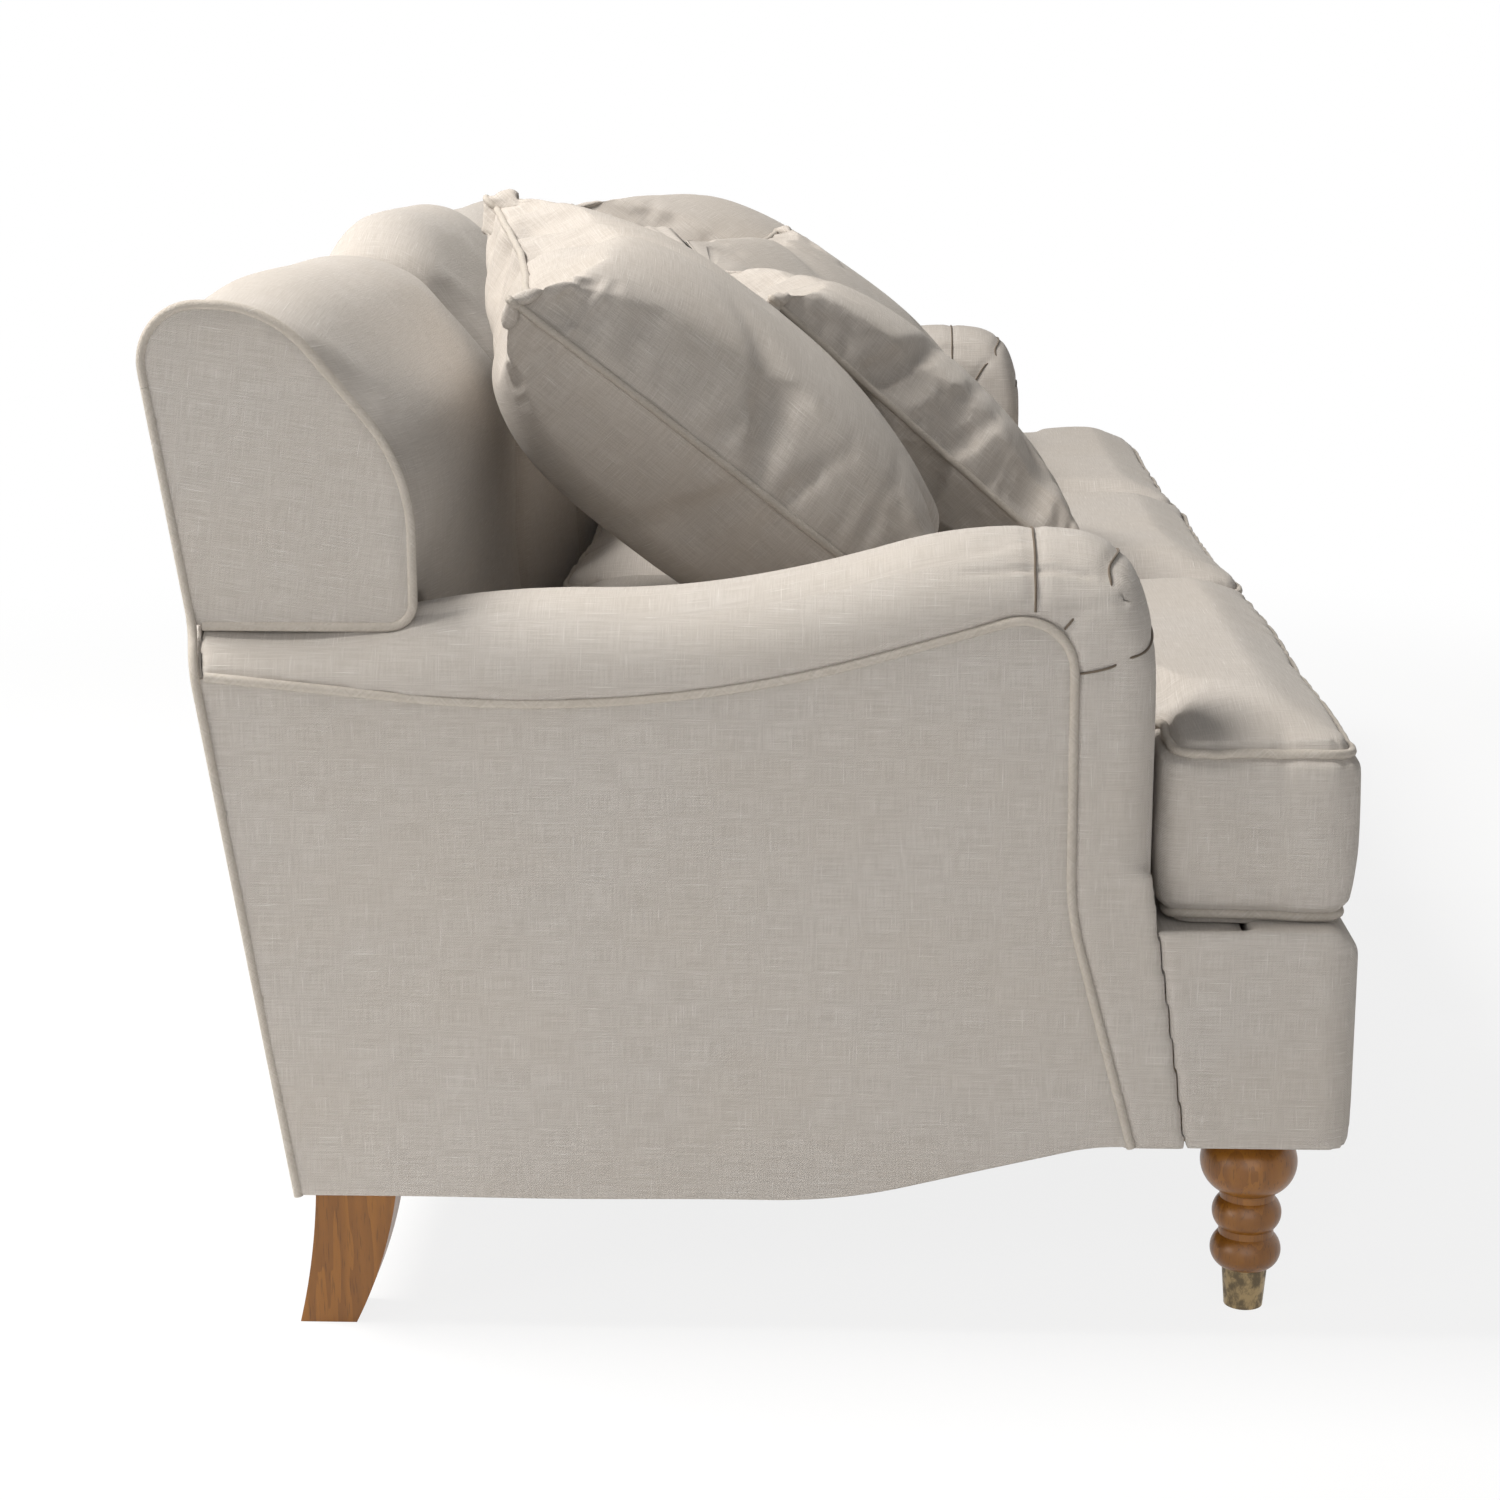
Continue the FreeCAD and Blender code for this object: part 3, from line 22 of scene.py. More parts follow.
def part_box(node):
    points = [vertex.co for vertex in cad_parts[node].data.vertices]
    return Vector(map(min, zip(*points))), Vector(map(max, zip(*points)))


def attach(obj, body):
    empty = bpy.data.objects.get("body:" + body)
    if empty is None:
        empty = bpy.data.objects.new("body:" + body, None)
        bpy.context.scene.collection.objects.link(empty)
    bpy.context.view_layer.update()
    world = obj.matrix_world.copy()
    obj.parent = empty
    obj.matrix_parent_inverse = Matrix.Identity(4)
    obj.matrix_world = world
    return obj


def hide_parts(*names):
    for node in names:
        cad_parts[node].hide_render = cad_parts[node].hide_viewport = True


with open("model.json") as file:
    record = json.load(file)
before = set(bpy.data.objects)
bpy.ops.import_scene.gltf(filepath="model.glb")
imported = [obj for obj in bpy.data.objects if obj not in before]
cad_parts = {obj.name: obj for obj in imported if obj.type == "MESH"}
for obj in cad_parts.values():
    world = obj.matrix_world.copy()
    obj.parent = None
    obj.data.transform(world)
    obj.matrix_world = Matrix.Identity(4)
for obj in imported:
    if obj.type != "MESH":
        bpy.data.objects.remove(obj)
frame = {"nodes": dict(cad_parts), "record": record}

log = logging.getLogger("sofa")

SIDES = {"left": -1.0, "right": 1.0}
BODY = "root"
WEAVE = "weave"

# Sizes that several pieces share.
HALF_WIDTH = 1.045
ARM_INNER = 0.918
BACK_HALF_WIDTH = 1.018
FRONT = -0.5
COVER_LOW = 0.168
PANEL_LOW = 0.116
COVER_INSET = 0.0083
END_PANEL_BASE = 0.597
FRAME_TOP = 0.79
CUSHION_BASE = 0.3564
CUSHION_HEIGHT = 0.15
SEAT_EDGE = 0.306
CORD_RADIUS = 0.004
SHARP_ANGLE = 50.0

# The outer arm panel's outline from its foot up and back, and the back end's, as (y, z).
PANEL_TOE = (-0.306, COVER_LOW)
PANEL_WAIST = (-0.251, 0.37)
PANEL_CROWN = (-0.249, 0.624)
PANEL_DIP = (0.094, 0.526)
PANEL_REAR_TOP = 0.56
PANEL_RADII = [0.25, 0.042, 1.045]
END_FRONT = 0.283
END_SHOULDER = (END_FRONT, 0.725)
END_TOP = 0.8555
END_CROWN = (0.39134, END_TOP)
END_RADII = [0.02, 0.147, 0.098, 0.046]


def raked_y(height: float) -> float:
    """Y of the outside of the back at a height."""
    return 0.49293 - math.tan(math.radians(8.8)) * (FRAME_TOP - height)


class Lay(Enum):
    """Which way the cloth's weft runs where a piece faces up."""

    ACROSS = "along the seat"
    ALONG = "front to rear"


def smooth_noise(places: np.ndarray, seed: int) -> np.ndarray:
    """Seeded one-dimensional noise.

    Args:
        places: where to read it, one unit for each bump.
        seed: the noise's own number.

    Returns:
        Values from -1 to 1, smooth along the places.
    """
    table = np.random.default_rng(seed).uniform(-1.0, 1.0, 512)
    step = np.floor(places).astype(int)
    share = places - step
    share = share * share * (3.0 - 2.0 * share)
    return table[step % 512] * (1.0 - share) + table[(step + 1) % 512] * share


def cloud_noise(points: np.ndarray, scale: float, seed: int) -> np.ndarray:
    """Seeded smooth noise in space, as a sum of plane waves.

    Args:
        points: where to read it.
        scale: bumps in a metre.
        seed: the noise's own number.

    Returns:
        Values of about -1 to 1.
    """
    source = np.random.default_rng(seed)
    total = np.zeros(len(points))
    waves = 14
    for _ in range(waves):
        heading = source.normal(size=3)
        heading *= scale * source.uniform(0.55, 1.25) / np.linalg.norm(heading)
        total += np.sin(points @ heading * 2.0 * math.pi + source.uniform(0.0, 2.0 * math.pi))
    return total / math.sqrt(waves)


# Finishes


class NodeTree:
    """A node tree, with short calls that add and link its nodes."""

    def __init__(self, tree: bpy.types.NodeTree) -> None:
        """Take over a tree."""
        self.tree = tree

    def node(self, kind: str, settings: dict | None = None, **inputs: object) -> bpy.types.Node:
        """Add a node.

        Args:
            kind: Blender's name of the node type.
            settings: attributes of the node itself.
            inputs: values or sockets by input name, with _ for a space.

        Returns:
            The new node.
        """
        made = self.tree.nodes.new(kind)
        for key, value in (settings or {}).items():
            setattr(made, key, value)
        for key, value in inputs.items():
            self.plug(made.inputs[key.replace("_", " ")], value)
        return made

    def plug(self, socket: bpy.types.NodeSocket, value: object) -> None:
        """Link a socket, or set its value."""
        if isinstance(value, bpy.types.NodeSocket):
            self.tree.links.new(value, socket)
        elif isinstance(value, tuple) and len(value) == 3 and socket.type == "RGBA":
            socket.default_value = (*value, 1.0)
        else:
            socket.default_value = value

    def math(self, operation: str, *values: object) -> bpy.types.NodeSocket:
        """One arithmetic step on sockets or numbers."""
        made = self.node("ShaderNodeMath", {"operation": operation})
        for socket, value in zip(made.inputs, values):
            self.plug(socket, value)
        return made.outputs[0]


class Recipe(NodeTree):
    """A material's node tree, with what the finishes need."""

    def __init__(self, name: str) -> None:
        """Start an empty node tree under this name."""
        self.material = bpy.data.materials.new(name)
        self.material.use_nodes = True
        super().__init__(self.material.node_tree)
        self.tree.nodes.clear()

    def noise(self, vector: object, stretch: tuple, detail: float = 2.0,
              roughness: float = 0.5) -> bpy.types.NodeSocket:
        """Noise whose grains are stretched along the axes.

        Args:
            vector: the coordinates.
            stretch: grains in a metre along each axis.
            detail: how many finer layers it has.
            roughness: how strong those layers are.

        Returns:
            A value of about 0.3 to 0.7.
        """
        scaled = self.node("ShaderNodeMapping", Vector=vector, Scale=stretch)
        made = self.node("ShaderNodeTexNoise", Vector=scaled.outputs[0], Scale=1.0, Detail=detail,
                         Roughness=roughness)
        return made.outputs[0]

    def step(self, value: object, low: float, high: float, start: float = 0.0,
             end: float = 1.0) -> bpy.types.NodeSocket:
        """A smooth step of a value from one level to another."""
        made = self.node("ShaderNodeMapRange", {"interpolation_type": "SMOOTHSTEP"}, Value=value)
        for name, level in (("From Min", low), ("From Max", high), ("To Min", start), ("To Max", end)):
            made.inputs[name].default_value = level
        return made.outputs[0]

    def blend(self, share: object, first: object, second: object,
              mode: str = "MIX") -> bpy.types.NodeSocket:
        """A colour between two colours."""
        made = self.node("ShaderNodeMix", {"data_type": "RGBA", "blend_type": mode})
        self.plug(made.inputs[0], share)
        self.plug(made.inputs[6], first)
        self.plug(made.inputs[7], second)
        return made.outputs[2]

    def bump(self, height: object, strength: float, distance: float) -> bpy.types.NodeSocket:
        """A surface normal that a height disturbs."""
        made = self.node("ShaderNodeBump", Strength=strength, Distance=distance, Height=height)
        return made.outputs[0]

    def finish(self, colour: object, normal: object, **sockets: object) -> bpy.types.Material:
        """Close the tree with a surface.

        Args:
            colour: the base colour.
            normal: the disturbed normal.
            sockets: other inputs of the surface by name.

        Returns:
            The finished material.
        """
        surface = self.node("ShaderNodeBsdfPrincipled", Base_Color=colour, Normal=normal, **sockets)
        output = self.node("ShaderNodeOutputMaterial")
        self.tree.links.new(surface.outputs[0], output.inputs[0])
        return self.material


@dataclass(frozen=True)
class Linen:
    """A heavy linen twill with paler slubs both ways; its pattern lies on the piece's own map."""

    name: str
    ground: tuple = (0.555, 0.515, 0.475)
    shade: tuple = (0.435, 0.395, 0.355)
    slub: tuple = (0.76, 0.73, 0.69)
    slub_share: float = 0.5
    wale: float = 0.0021
    bump: float = 0.5
    turn: float = 0.0

    def material(self) -> bpy.types.Material:
        """The cloth's material."""
        recipe = Recipe(self.name)
        lay = recipe.node("ShaderNodeUVMap", {"uv_map": WEAVE}).outputs[0]
        if self.turn:
            turned = recipe.node("ShaderNodeMapping", Vector=lay)
            turned.inputs["Rotation"].default_value = (0.0, 0.0, math.radians(self.turn))
            lay = turned.outputs[0]
        parts = recipe.node("ShaderNodeSeparateXYZ", Vector=lay).outputs
        along = recipe.math("ADD", parts[0], parts[1])
        twill = recipe.math("SINE", recipe.math("MULTIPLY", along, 2.0 * math.pi / self.wale))
        weft = recipe.noise(lay, (26.0, 1100.0, 1.0), 1.0)
        warp = recipe.noise(lay, (1100.0, 38.0, 1.0), 1.0)
        weft_slub = recipe.step(recipe.noise(lay, (26.0, 1050.0, 1.0), 1.5), 0.62, 0.74)
        warp_slub = recipe.step(recipe.noise(lay, (900.0, 34.0, 1.0), 1.5), 0.62, 0.75)
        slubs = recipe.math("MAXIMUM", weft_slub, recipe.math("MULTIPLY", warp_slub, 0.8))
        speck = recipe.noise(lay, (900.0, 900.0, 1.0), 2.0, 0.7)
        patch = recipe.noise(lay, (5.0, 8.0, 1.0), 3.0)
        thread = recipe.math("ADD", recipe.math("MULTIPLY", weft, 0.55),
                             recipe.math("MULTIPLY", warp, 0.45))
        tone = recipe.math("ADD", recipe.step(thread, 0.40, 0.60, 0.0, 0.62),
                           recipe.math("MULTIPLY", twill, 0.16))
        tone = recipe.math("ADD", tone, recipe.step(speck, 0.35, 0.65, 0.0, 0.42))
        cloth = recipe.blend(tone, self.shade, self.ground)
        cloth = recipe.blend(recipe.step(patch, 0.35, 0.65, 0.0, 0.16), cloth, (0.49, 0.425, 0.35))
        cloth = recipe.blend(recipe.math("MULTIPLY", slubs, self.slub_share), cloth, self.slub)
        height = recipe.math("ADD", recipe.math("MULTIPLY", twill, 0.25),
                             recipe.math("ADD", thread, slubs))
        height = recipe.math("ADD", height, recipe.math("MULTIPLY", speck, 0.6))
        return recipe.finish(cloth, recipe.bump(height, self.bump, 0.0006), Roughness=0.92,
                             Specular_IOR_Level=0.18, Sheen_Weight=0.22, Sheen_Roughness=0.45,
                             Sheen_Tint=(0.95, 0.92, 0.87))


@dataclass(frozen=True)
class Wood:
    """Oiled hardwood with its grain along the legs or rails."""

    name: str
    pale: tuple
    dark: tuple
    grain: tuple = (52.0, 52.0, 3.2)
    roughness: float = 0.38
    coat: float = 0.25

    def material(self) -> bpy.types.Material:
        """The wood's material."""
        recipe = Recipe(self.name)
        place = recipe.node("ShaderNodeTexCoord").outputs["Object"]
        figure = recipe.noise(place, tuple(g * 0.35 for g in self.grain), 4.0, 0.55)
        rings = recipe.math("FRACT", recipe.math("MULTIPLY", figure, 9.0))
        rings = recipe.step(rings, 0.05, 0.95)
        pores = recipe.step(recipe.noise(place, tuple(g * 14.0 for g in self.grain), 2.0), 0.56, 0.70)
        broad = recipe.noise(place, (9.0, 9.0, 3.0), 2.0)
        colour = recipe.blend(recipe.math("MULTIPLY", rings, 0.55), self.pale, self.dark)
        colour = recipe.blend(recipe.step(broad, 0.35, 0.65, 0.0, 0.45), colour, self.dark)
        deep = tuple(part * 0.45 for part in self.dark)
        colour = recipe.blend(recipe.math("MULTIPLY", pores, 0.5), colour, deep)
        height = recipe.math("SUBTRACT", recipe.math("MULTIPLY", rings, 0.2), pores)
        rough = recipe.step(broad, 0.3, 0.7, self.roughness - 0.06, self.roughness + 0.08)
        return recipe.finish(colour, recipe.bump(height, 0.18, 0.0004), Roughness=rough,
                             Coat_Weight=self.coat, Coat_Roughness=0.22)


@dataclass(frozen=True)
class Metal:
    """A metal with a patina that gathers in patches, and fine marks from use."""

    name: str
    bright: tuple
    dull: tuple
    roughness: float = 0.36

    def material(self) -> bpy.types.Material:
        """The metal's material."""
        recipe = Recipe(self.name)
        place = recipe.node("ShaderNodeTexCoord").outputs["Object"]
        patina = recipe.step(recipe.noise(place, (120.0, 120.0, 90.0), 4.0, 0.65), 0.38, 0.62)
        marks = recipe.noise(place, (700.0, 700.0, 60.0), 2.0)
        colour = recipe.blend(patina, self.bright, self.dull)
        rough = recipe.math("ADD", recipe.math("MULTIPLY", patina, 0.2), self.roughness)
        return recipe.finish(colour, recipe.bump(marks, 0.15, 0.0003), Roughness=rough, Metallic=0.95)


@dataclass(frozen=True)
class Coarse:
    """A plain coarse stuff such as lining, webbing or foam, with a grain in two directions."""

    name: str
    pale: tuple
    dark: tuple
    grains: tuple = (420.0, 420.0, 420.0)
    bump: float = 0.4

    def material(self) -> bpy.types.Material:
        """The stuff's material."""
        recipe = Recipe(self.name)
        place = recipe.node("ShaderNodeTexCoord").outputs["Object"]
        grain = recipe.noise(place, self.grains, 2.0, 0.6)
        patch = recipe.noise(place, (12.0, 12.0, 12.0), 2.0)
        mixed = recipe.math("ADD", recipe.step(grain, 0.38, 0.62, 0.0, 0.7),
                            recipe.step(patch, 0.35, 0.65, 0.0, 0.3))
        colour = recipe.blend(mixed, self.dark, self.pale)
        return recipe.finish(colour, recipe.bump(grain, self.bump, 0.0006), Roughness=0.9)


class Finishes:
    """Every material of the sofa, each made once."""

    def __init__(self) -> None:
        """Make the materials."""
        self.linen = Linen("oatmeal linen").material()
        self.back_linen = Linen("oatmeal linen on the back", turn=-8.8).material()
        self.pillow = Linen("pillow linen", ground=(0.555, 0.51, 0.465), shade=(0.435, 0.39, 0.345),
                            slub_share=0.4, wale=0.0016).material()
        self.piping = Linen("piping linen", ground=(0.55, 0.50, 0.445), shade=(0.42, 0.375, 0.32),
                            slub_share=0.35, wale=0.0016, turn=45.0).material()
        # The dark lines along the arms' pleat seams are painted shadow: a near black linen laid where the
        # seams' hollows fall into shade.
        self.seam = Linen("seam shadow", ground=(0.16, 0.125, 0.095), shade=(0.11, 0.085, 0.06),
                          slub=(0.2, 0.17, 0.13), slub_share=0.2).material()
        self.leg_wood = Wood("honey brown wood", (0.30, 0.115, 0.010), (0.15, 0.05, 0.003),
                             coat=0.12).material()
        self.frame_wood = Wood("pale frame wood", (0.58, 0.42, 0.24), (0.42, 0.28, 0.15),
                               (3.2, 52.0, 52.0), 0.6, 0.0).material()
        self.brass = Metal("aged brass", (0.32, 0.235, 0.125), (0.13, 0.10, 0.062)).material()
        self.steel = Metal("spring steel", (0.42, 0.42, 0.43), (0.22, 0.21, 0.21), 0.3).material()
        self.bolt_steel = Metal("zinc plated steel", (0.55, 0.55, 0.53), (0.36, 0.36, 0.35)).material()
        self.lining = Coarse("black lining cloth", (0.055, 0.052, 0.05), (0.022, 0.02, 0.02)).material()
        self.webbing = Coarse("jute webbing", (0.42, 0.32, 0.18), (0.26, 0.19, 0.10),
                              (90.0, 900.0, 900.0)).material()
        self.by_slot = {
            "frame_wood": self.frame_wood, "leg_wood": self.leg_wood, "brass": self.brass,
            "spring_steel": self.steel, "bolt_steel": self.bolt_steel, "webbing": self.webbing,
            "lining_cloth": self.lining, "cushion_filling": self.webbing, "sofa_linen": self.linen,
            "piping_linen": self.piping, "pillow_linen": self.pillow,
        }


# Routes of cords and seams


class Route:
    """The way of a cord or seam through space, as evenly spaced points."""

    def __init__(self, points: np.ndarray, closed: bool = False, step: float = 0.004) -> None:
        """Space the points evenly.

        Args:
            points: corners or samples of the way.
            closed: whether it ends where it starts.
            step: the distance between the kept points.
        """
        self.closed = closed
        ring = np.vstack([points, points[:1]]) if closed else np.asarray(points, float)
        reach = np.concatenate([[0.0], np.cumsum(np.linalg.norm(np.diff(ring, axis=0), axis=1))])
        self.length = float(reach[-1])
        count = max(3, int(round(self.length / step)))
        marks = np.linspace(0.0, self.length, count + 1)
        marks = marks[:-1] if closed else marks
        self.points = np.column_stack([np.interp(marks, reach, ring[:, axis]) for axis in range(3)])
        self.marks = marks

    @classmethod
    def rounded(cls, corners: list[tuple], radii: list[float], closed: bool = False) -> "Route":
        """A way of straight runs whose corners are rounded.

        Args:
            corners: its corners in space.
            radii: a radius for each corner, or for each inner corner of an open way.
            closed: whether it ends where it starts.

        Returns:
            The route.
        """
        spots = [Vector(corner) for corner in corners]
        rounds = list(radii) if closed else [0.0, *radii, 0.0]
        points: list[tuple] = []
        for index, (corner, radius) in enumerate(zip(spots, rounds)):
            if radius <= 0.0:
                points.append(tuple(corner))
                continue
            back = (spots[index - 1] - corner).normalized()
            ahead = (spots[(index + 1) % len(spots)] - corner).normalized()
            half = back.angle(ahead) / 2.0
            start = corner + back * (radius / math.tan(half))
            centre = corner + (back + ahead).normalized() * (radius / math.sin(half))
            turn = math.pi - 2.0 * half
            axis = back.cross(ahead).normalized()
            for share in np.linspace(0.0, 1.0, 13):
                arm = Matrix.Rotation(-turn * share, 3, axis) @ (start - centre)
                points.append(tuple(centre + arm))
        return cls(np.array(points), closed)

    def softened(self, rounds: int = 2) -> "Route":
        """The route with its small jumps smoothed out."""
        points = self.points.copy()
        for _ in range(rounds):
            before, after = np.roll(points, 1, 0), np.roll(points, -1, 0)
            moved = (before + points * 2.0 + after) / 4.0
            if not self.closed:
                moved[0], moved[-1] = points[0], points[-1]
            points = moved
        return Route(points, self.closed)

    def laid_on(self, tree: BVHTree, lift: float) -> "Route":
        """The route moved onto a surface.

        Args:
            tree: the surface.
            lift: how far over it the route lies.

        Returns:
            The moved route.
        """
        route = self
        for _ in range(3):
            laid = []
            for point in route.points:
                spot, normal, _, _ = tree.find_nearest(Vector(point))
                laid.append(tuple(spot + normal * lift))
            route = Route(np.array(laid), self.closed)
        return route.softened()

    def mirrored(self, side: float) -> "Route":
        """The same route on one side of the sofa."""
        return Route(self.points * np.array([side, 1.0, 1.0]), self.closed)

    def nearest(self, points: np.ndarray) -> tuple[np.ndarray, np.ndarray]:
        """How far points are from the route, and how far along it they are.

        Args:
            points: the points.

        Returns:
            The distances, and the lengths along the route.
        """
        finder = KDTree(len(self.points))
        for index, point in enumerate(self.points):
            finder.insert(Vector(point), index)
        finder.balance()
        found = [finder.find(Vector(point)) for point in points]
        return np.array([f[2] for f in found]), self.marks[np.array([f[1] for f in found])]


# Cloth forms


class Form:
    """A closed surface of cloth that is worked step by step before it becomes a piece."""

    def __init__(self, name: str, mesh: bpy.types.Mesh, rounded: bool = True) -> None:
        """Take over a mesh under a piece's name; one that isn't rounded keeps sharp edges."""
        self.name = name
        self.mesh = mesh
        self.rounded = rounded

    @classmethod
    def of_node(cls, name: str, node: str, voxel: float) -> "Form":
        """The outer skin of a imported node, remeshed evenly.

        Args:
            name: the piece's name.
            node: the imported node.
            voxel: size of the new faces.

        Returns:
            The form.
        """
        work = bmesh.new()
        work.from_mesh(frame["nodes"][node].data)
        bmesh.ops.remove_doubles(work, verts=work.verts, dist=1e-5)
        keep_outer_shell(work)
        mesh = bpy.data.meshes.new(name)
        work.to_mesh(mesh)
        work.free()
        return cls(name, through_modifier(mesh, "REMESH", mode="VOXEL", voxel_size=voxel))

    @classmethod
    def of_plate(cls, name: str, outline: Route, inward: tuple, thickness: float, spacing: float = 0.012,
                 roll: float = 0.003) -> "Form":
        """A thin padded plate inside a flat outline, with its face rolled over at the edges.

        Args:
            name: the piece's name.
            outline: its closed outline, on the face.
            inward: the direction from the face to the rear.
            thickness: its thickness.
            spacing: size of the faces.
            roll: radius of the rolled edge.

        Returns:
            The form.
        """
        rearward = Vector(inward).normalized()
        across = Vector((0.0, 1.0, 0.0)) if abs(rearward.x) > 0.5 else Vector((1.0, 0.0, 0.0))
        up = across.cross(rearward).normalized()
        across = rearward.cross(up).normalized()
        origin = outline.points[0]
        basis = np.array([across, up]).T
        rim = (outline.points - origin) @ basis
        inner = filling_points(rim, spacing, (roll * 0.35, roll))
        spots = [Vector(spot) for spot in np.vstack([rim, inner])]
        flat, _, faces, given, _, _ = delaunay_2d_cdt(spots, [], [list(range(len(rim)))], 1, 1e-7)
        flat = np.array([tuple(spot) for spot in flat])
        number = {first: index for index, origins in enumerate(given) for first in origins}
        border = [number[index] for index in range(len(rim))]
        face = flat @ basis.T + origin
        distance, _ = outline.nearest(face)
        level = 1.0 - np.clip(distance / roll, 0.0, 1.0)
        back = np.array(rearward)
        front = face + back * (roll * (1.0 - np.sqrt(1.0 - level ** 2)))[:, None]
        count = len(face)
        turn = [tuple(reversed(triangle)) for triangle in faces]
        rear_faces = [tuple(index + count for index in triangle) for triangle in faces]
        ahead = border[1:] + border[:1]
        walls = [(first, first + count, second + count, second) for first, second in zip(border, ahead)]
        mesh = bpy.data.meshes.new(name)
        points = np.vstack([front, face + back * thickness])
        mesh.from_pydata(points.tolist(), [], turn + rear_faces + walls)
        work = bmesh.new()
        work.from_mesh(mesh)
        bmesh.ops.recalc_face_normals(work, faces=work.faces)
        work.to_mesh(mesh)
        work.free()
        return cls(name, mesh, rounded=False)

    @property
    def points(self) -> np.ndarray:
        """The places of the vertices."""
        values = np.empty(len(self.mesh.vertices) * 3)
        self.mesh.vertices.foreach_get("co", values)
        return values.reshape(-1, 3)

    @points.setter
    def points(self, values: np.ndarray) -> None:
        self.mesh.vertices.foreach_set("co", values.ravel())
        self.mesh.update()

    @property
    def normals(self) -> np.ndarray:
        """The outward directions at the vertices."""
        values = np.empty(len(self.mesh.vertices) * 3)
        self.mesh.vertex_normals.foreach_get("vector", values)
        return values.reshape(-1, 3)

    def relax(self, rounds: int, share: float = 0.5) -> None:
        """Even out the surface by drawing each vertex towards its neighbours."""
        edges = np.empty(len(self.mesh.edges) * 2, int)
        self.mesh.edges.foreach_get("vertices", edges)
        first, second = edges.reshape(-1, 2).T
        points = self.points
        counts = np.bincount(edges, minlength=len(points))[:, None]
        for _ in range(rounds):
            total = np.zeros_like(points)
            np.add.at(total, first, points[second])
            np.add.at(total, second, points[first])
            points = points + (total / counts - points) * share
        self.points = points

    def swell(self, amount: float | np.ndarray) -> None:
        """Move the surface outwards by an amount."""
        self.points = self.points + self.normals * np.reshape(amount, (-1, 1))

    def stuff(self, cap: float, pressure: float = 4.0, frames: int = 20) -> None:
        """Fill the cover by a cloth simulation and keep its result.

        Args:
            cap: the most that a point may move.
            pressure: how hard the filling presses.
            frames: how long it settles.
        """
        scene = bpy.context.scene
        start = self.points
        holder = bpy.data.objects.new(self.name + "_stuffing", self.mesh)
        scene.collection.objects.link(holder)
        cloth = holder.modifiers.new("stuffing", "CLOTH")
        cloth.settings.quality = 4
        cloth.settings.mass = 0.25
        cloth.settings.bending_stiffness = 0.4
        cloth.settings.use_pressure = True
        cloth.settings.uniform_pressure_force = pressure
        cloth.settings.effector_weights.gravity = 0.0
        cloth.point_cache.frame_start = 1
        cloth.point_cache.frame_end = frames
        for moment in range(1, frames + 1):
            scene.frame_set(moment)
        settled = holder.evaluated_get(bpy.context.evaluated_depsgraph_get()).data
        values = np.empty(len(settled.vertices) * 3)
        settled.vertices.foreach_get("co", values)
        move = values.reshape(-1, 3) - start
        length = np.linalg.norm(move, axis=1, keepdims=True)
        bpy.data.objects.remove(holder)
        scene.frame_set(1)
        self.points = start + move * np.minimum(1.0, cap / np.maximum(length, 1e-9))

    def pinch(self, route: Route, depth: float, reach: float) -> None:
        """Draw the cloth in along a seam.

        Args:
            route: the seam.
            depth: how deep it lies.
            reach: how far from it the cloth is level again.
        """
        distance, _ = route.nearest(self.points)
        share = np.clip(1.0 - distance / reach, 0.0, 1.0)
        self.swell(-depth * share * share * (3.0 - 2.0 * share))

    def gather(self, route: Route, depth: float, reach: float, pitch: float, seed: int) -> None:
        """Gather the cloth along a seam into small creases of many lengths.

        Args:
            route: the seam.
            depth: how deep the creases are.
            reach: how far the longer ones run from the seam.
            pitch: the distance between creases.
            seed: the creases' own number.
        """
        distance, along = route.nearest(self.points)
        slant = along + distance * 0.5 * smooth_noise(along / (pitch * 5.0), seed + 1)
        wave = smooth_noise(slant / pitch, seed) + 0.5 * smooth_noise(slant / (pitch * 0.45), seed + 2)
        crease = np.clip(-wave, 0.0, 1.5) ** 1.3
        length = np.clip(smooth_noise(slant / (pitch * 1.7), seed + 3) + 0.4, 0.0, 1.4)
        run = reach * (0.35 + 0.65 * length)
        rise = np.clip(distance / (pitch * 0.4), 0.0, 1.0)
        fade = np.exp(-((distance / np.maximum(run, 1e-4)) ** 2))
        self.swell(-depth * crease * rise * fade)

    def dent(self, depth: float, scale: float, seed: int, share: float | np.ndarray = 1.0) -> None:
        """Give the filling broad soft hollows, where share isn't 0."""
        points = self.points
        self.swell(depth * (cloud_noise(points, scale, seed) - 1.0) * 0.5 * share)

    def hold(self, low: tuple, high: tuple) -> None:
        """Keep the surface between two corners."""
        self.points = np.clip(self.points, np.array(low), np.array(high))

    def press(self, trees: list[BVHTree], gap: float = 0.0006) -> None:
        """Press the surface flat where it would run into a neighbour.

        Args:
            trees: the neighbours' surfaces.
            gap: what is left between the two.
        """
        points = self.points
        for tree in trees:
            for index, point in enumerate(points):
                spot, normal, _, distance = tree.find_nearest(Vector(point), 0.12)
                if spot is not None and (Vector(point) - spot).dot(normal) < gap:
                    if (Vector(point) - spot).dot(normal) < 0.0 or distance < gap:
                        points[index] = spot + normal * gap
        self.points = points

    def refine(self) -> None:
        """Divide every face into smaller, smoother ones."""
        self.mesh = through_modifier(self.mesh, "SUBSURF", levels=1, render_levels=1)

    def tree(self) -> BVHTree:
        """The surface as it is now, for laying cords and pressing neighbours."""
        faces = [tuple(face.vertices) for face in self.mesh.polygons]
        return BVHTree.FromPolygons([Vector(point) for point in self.points], faces)

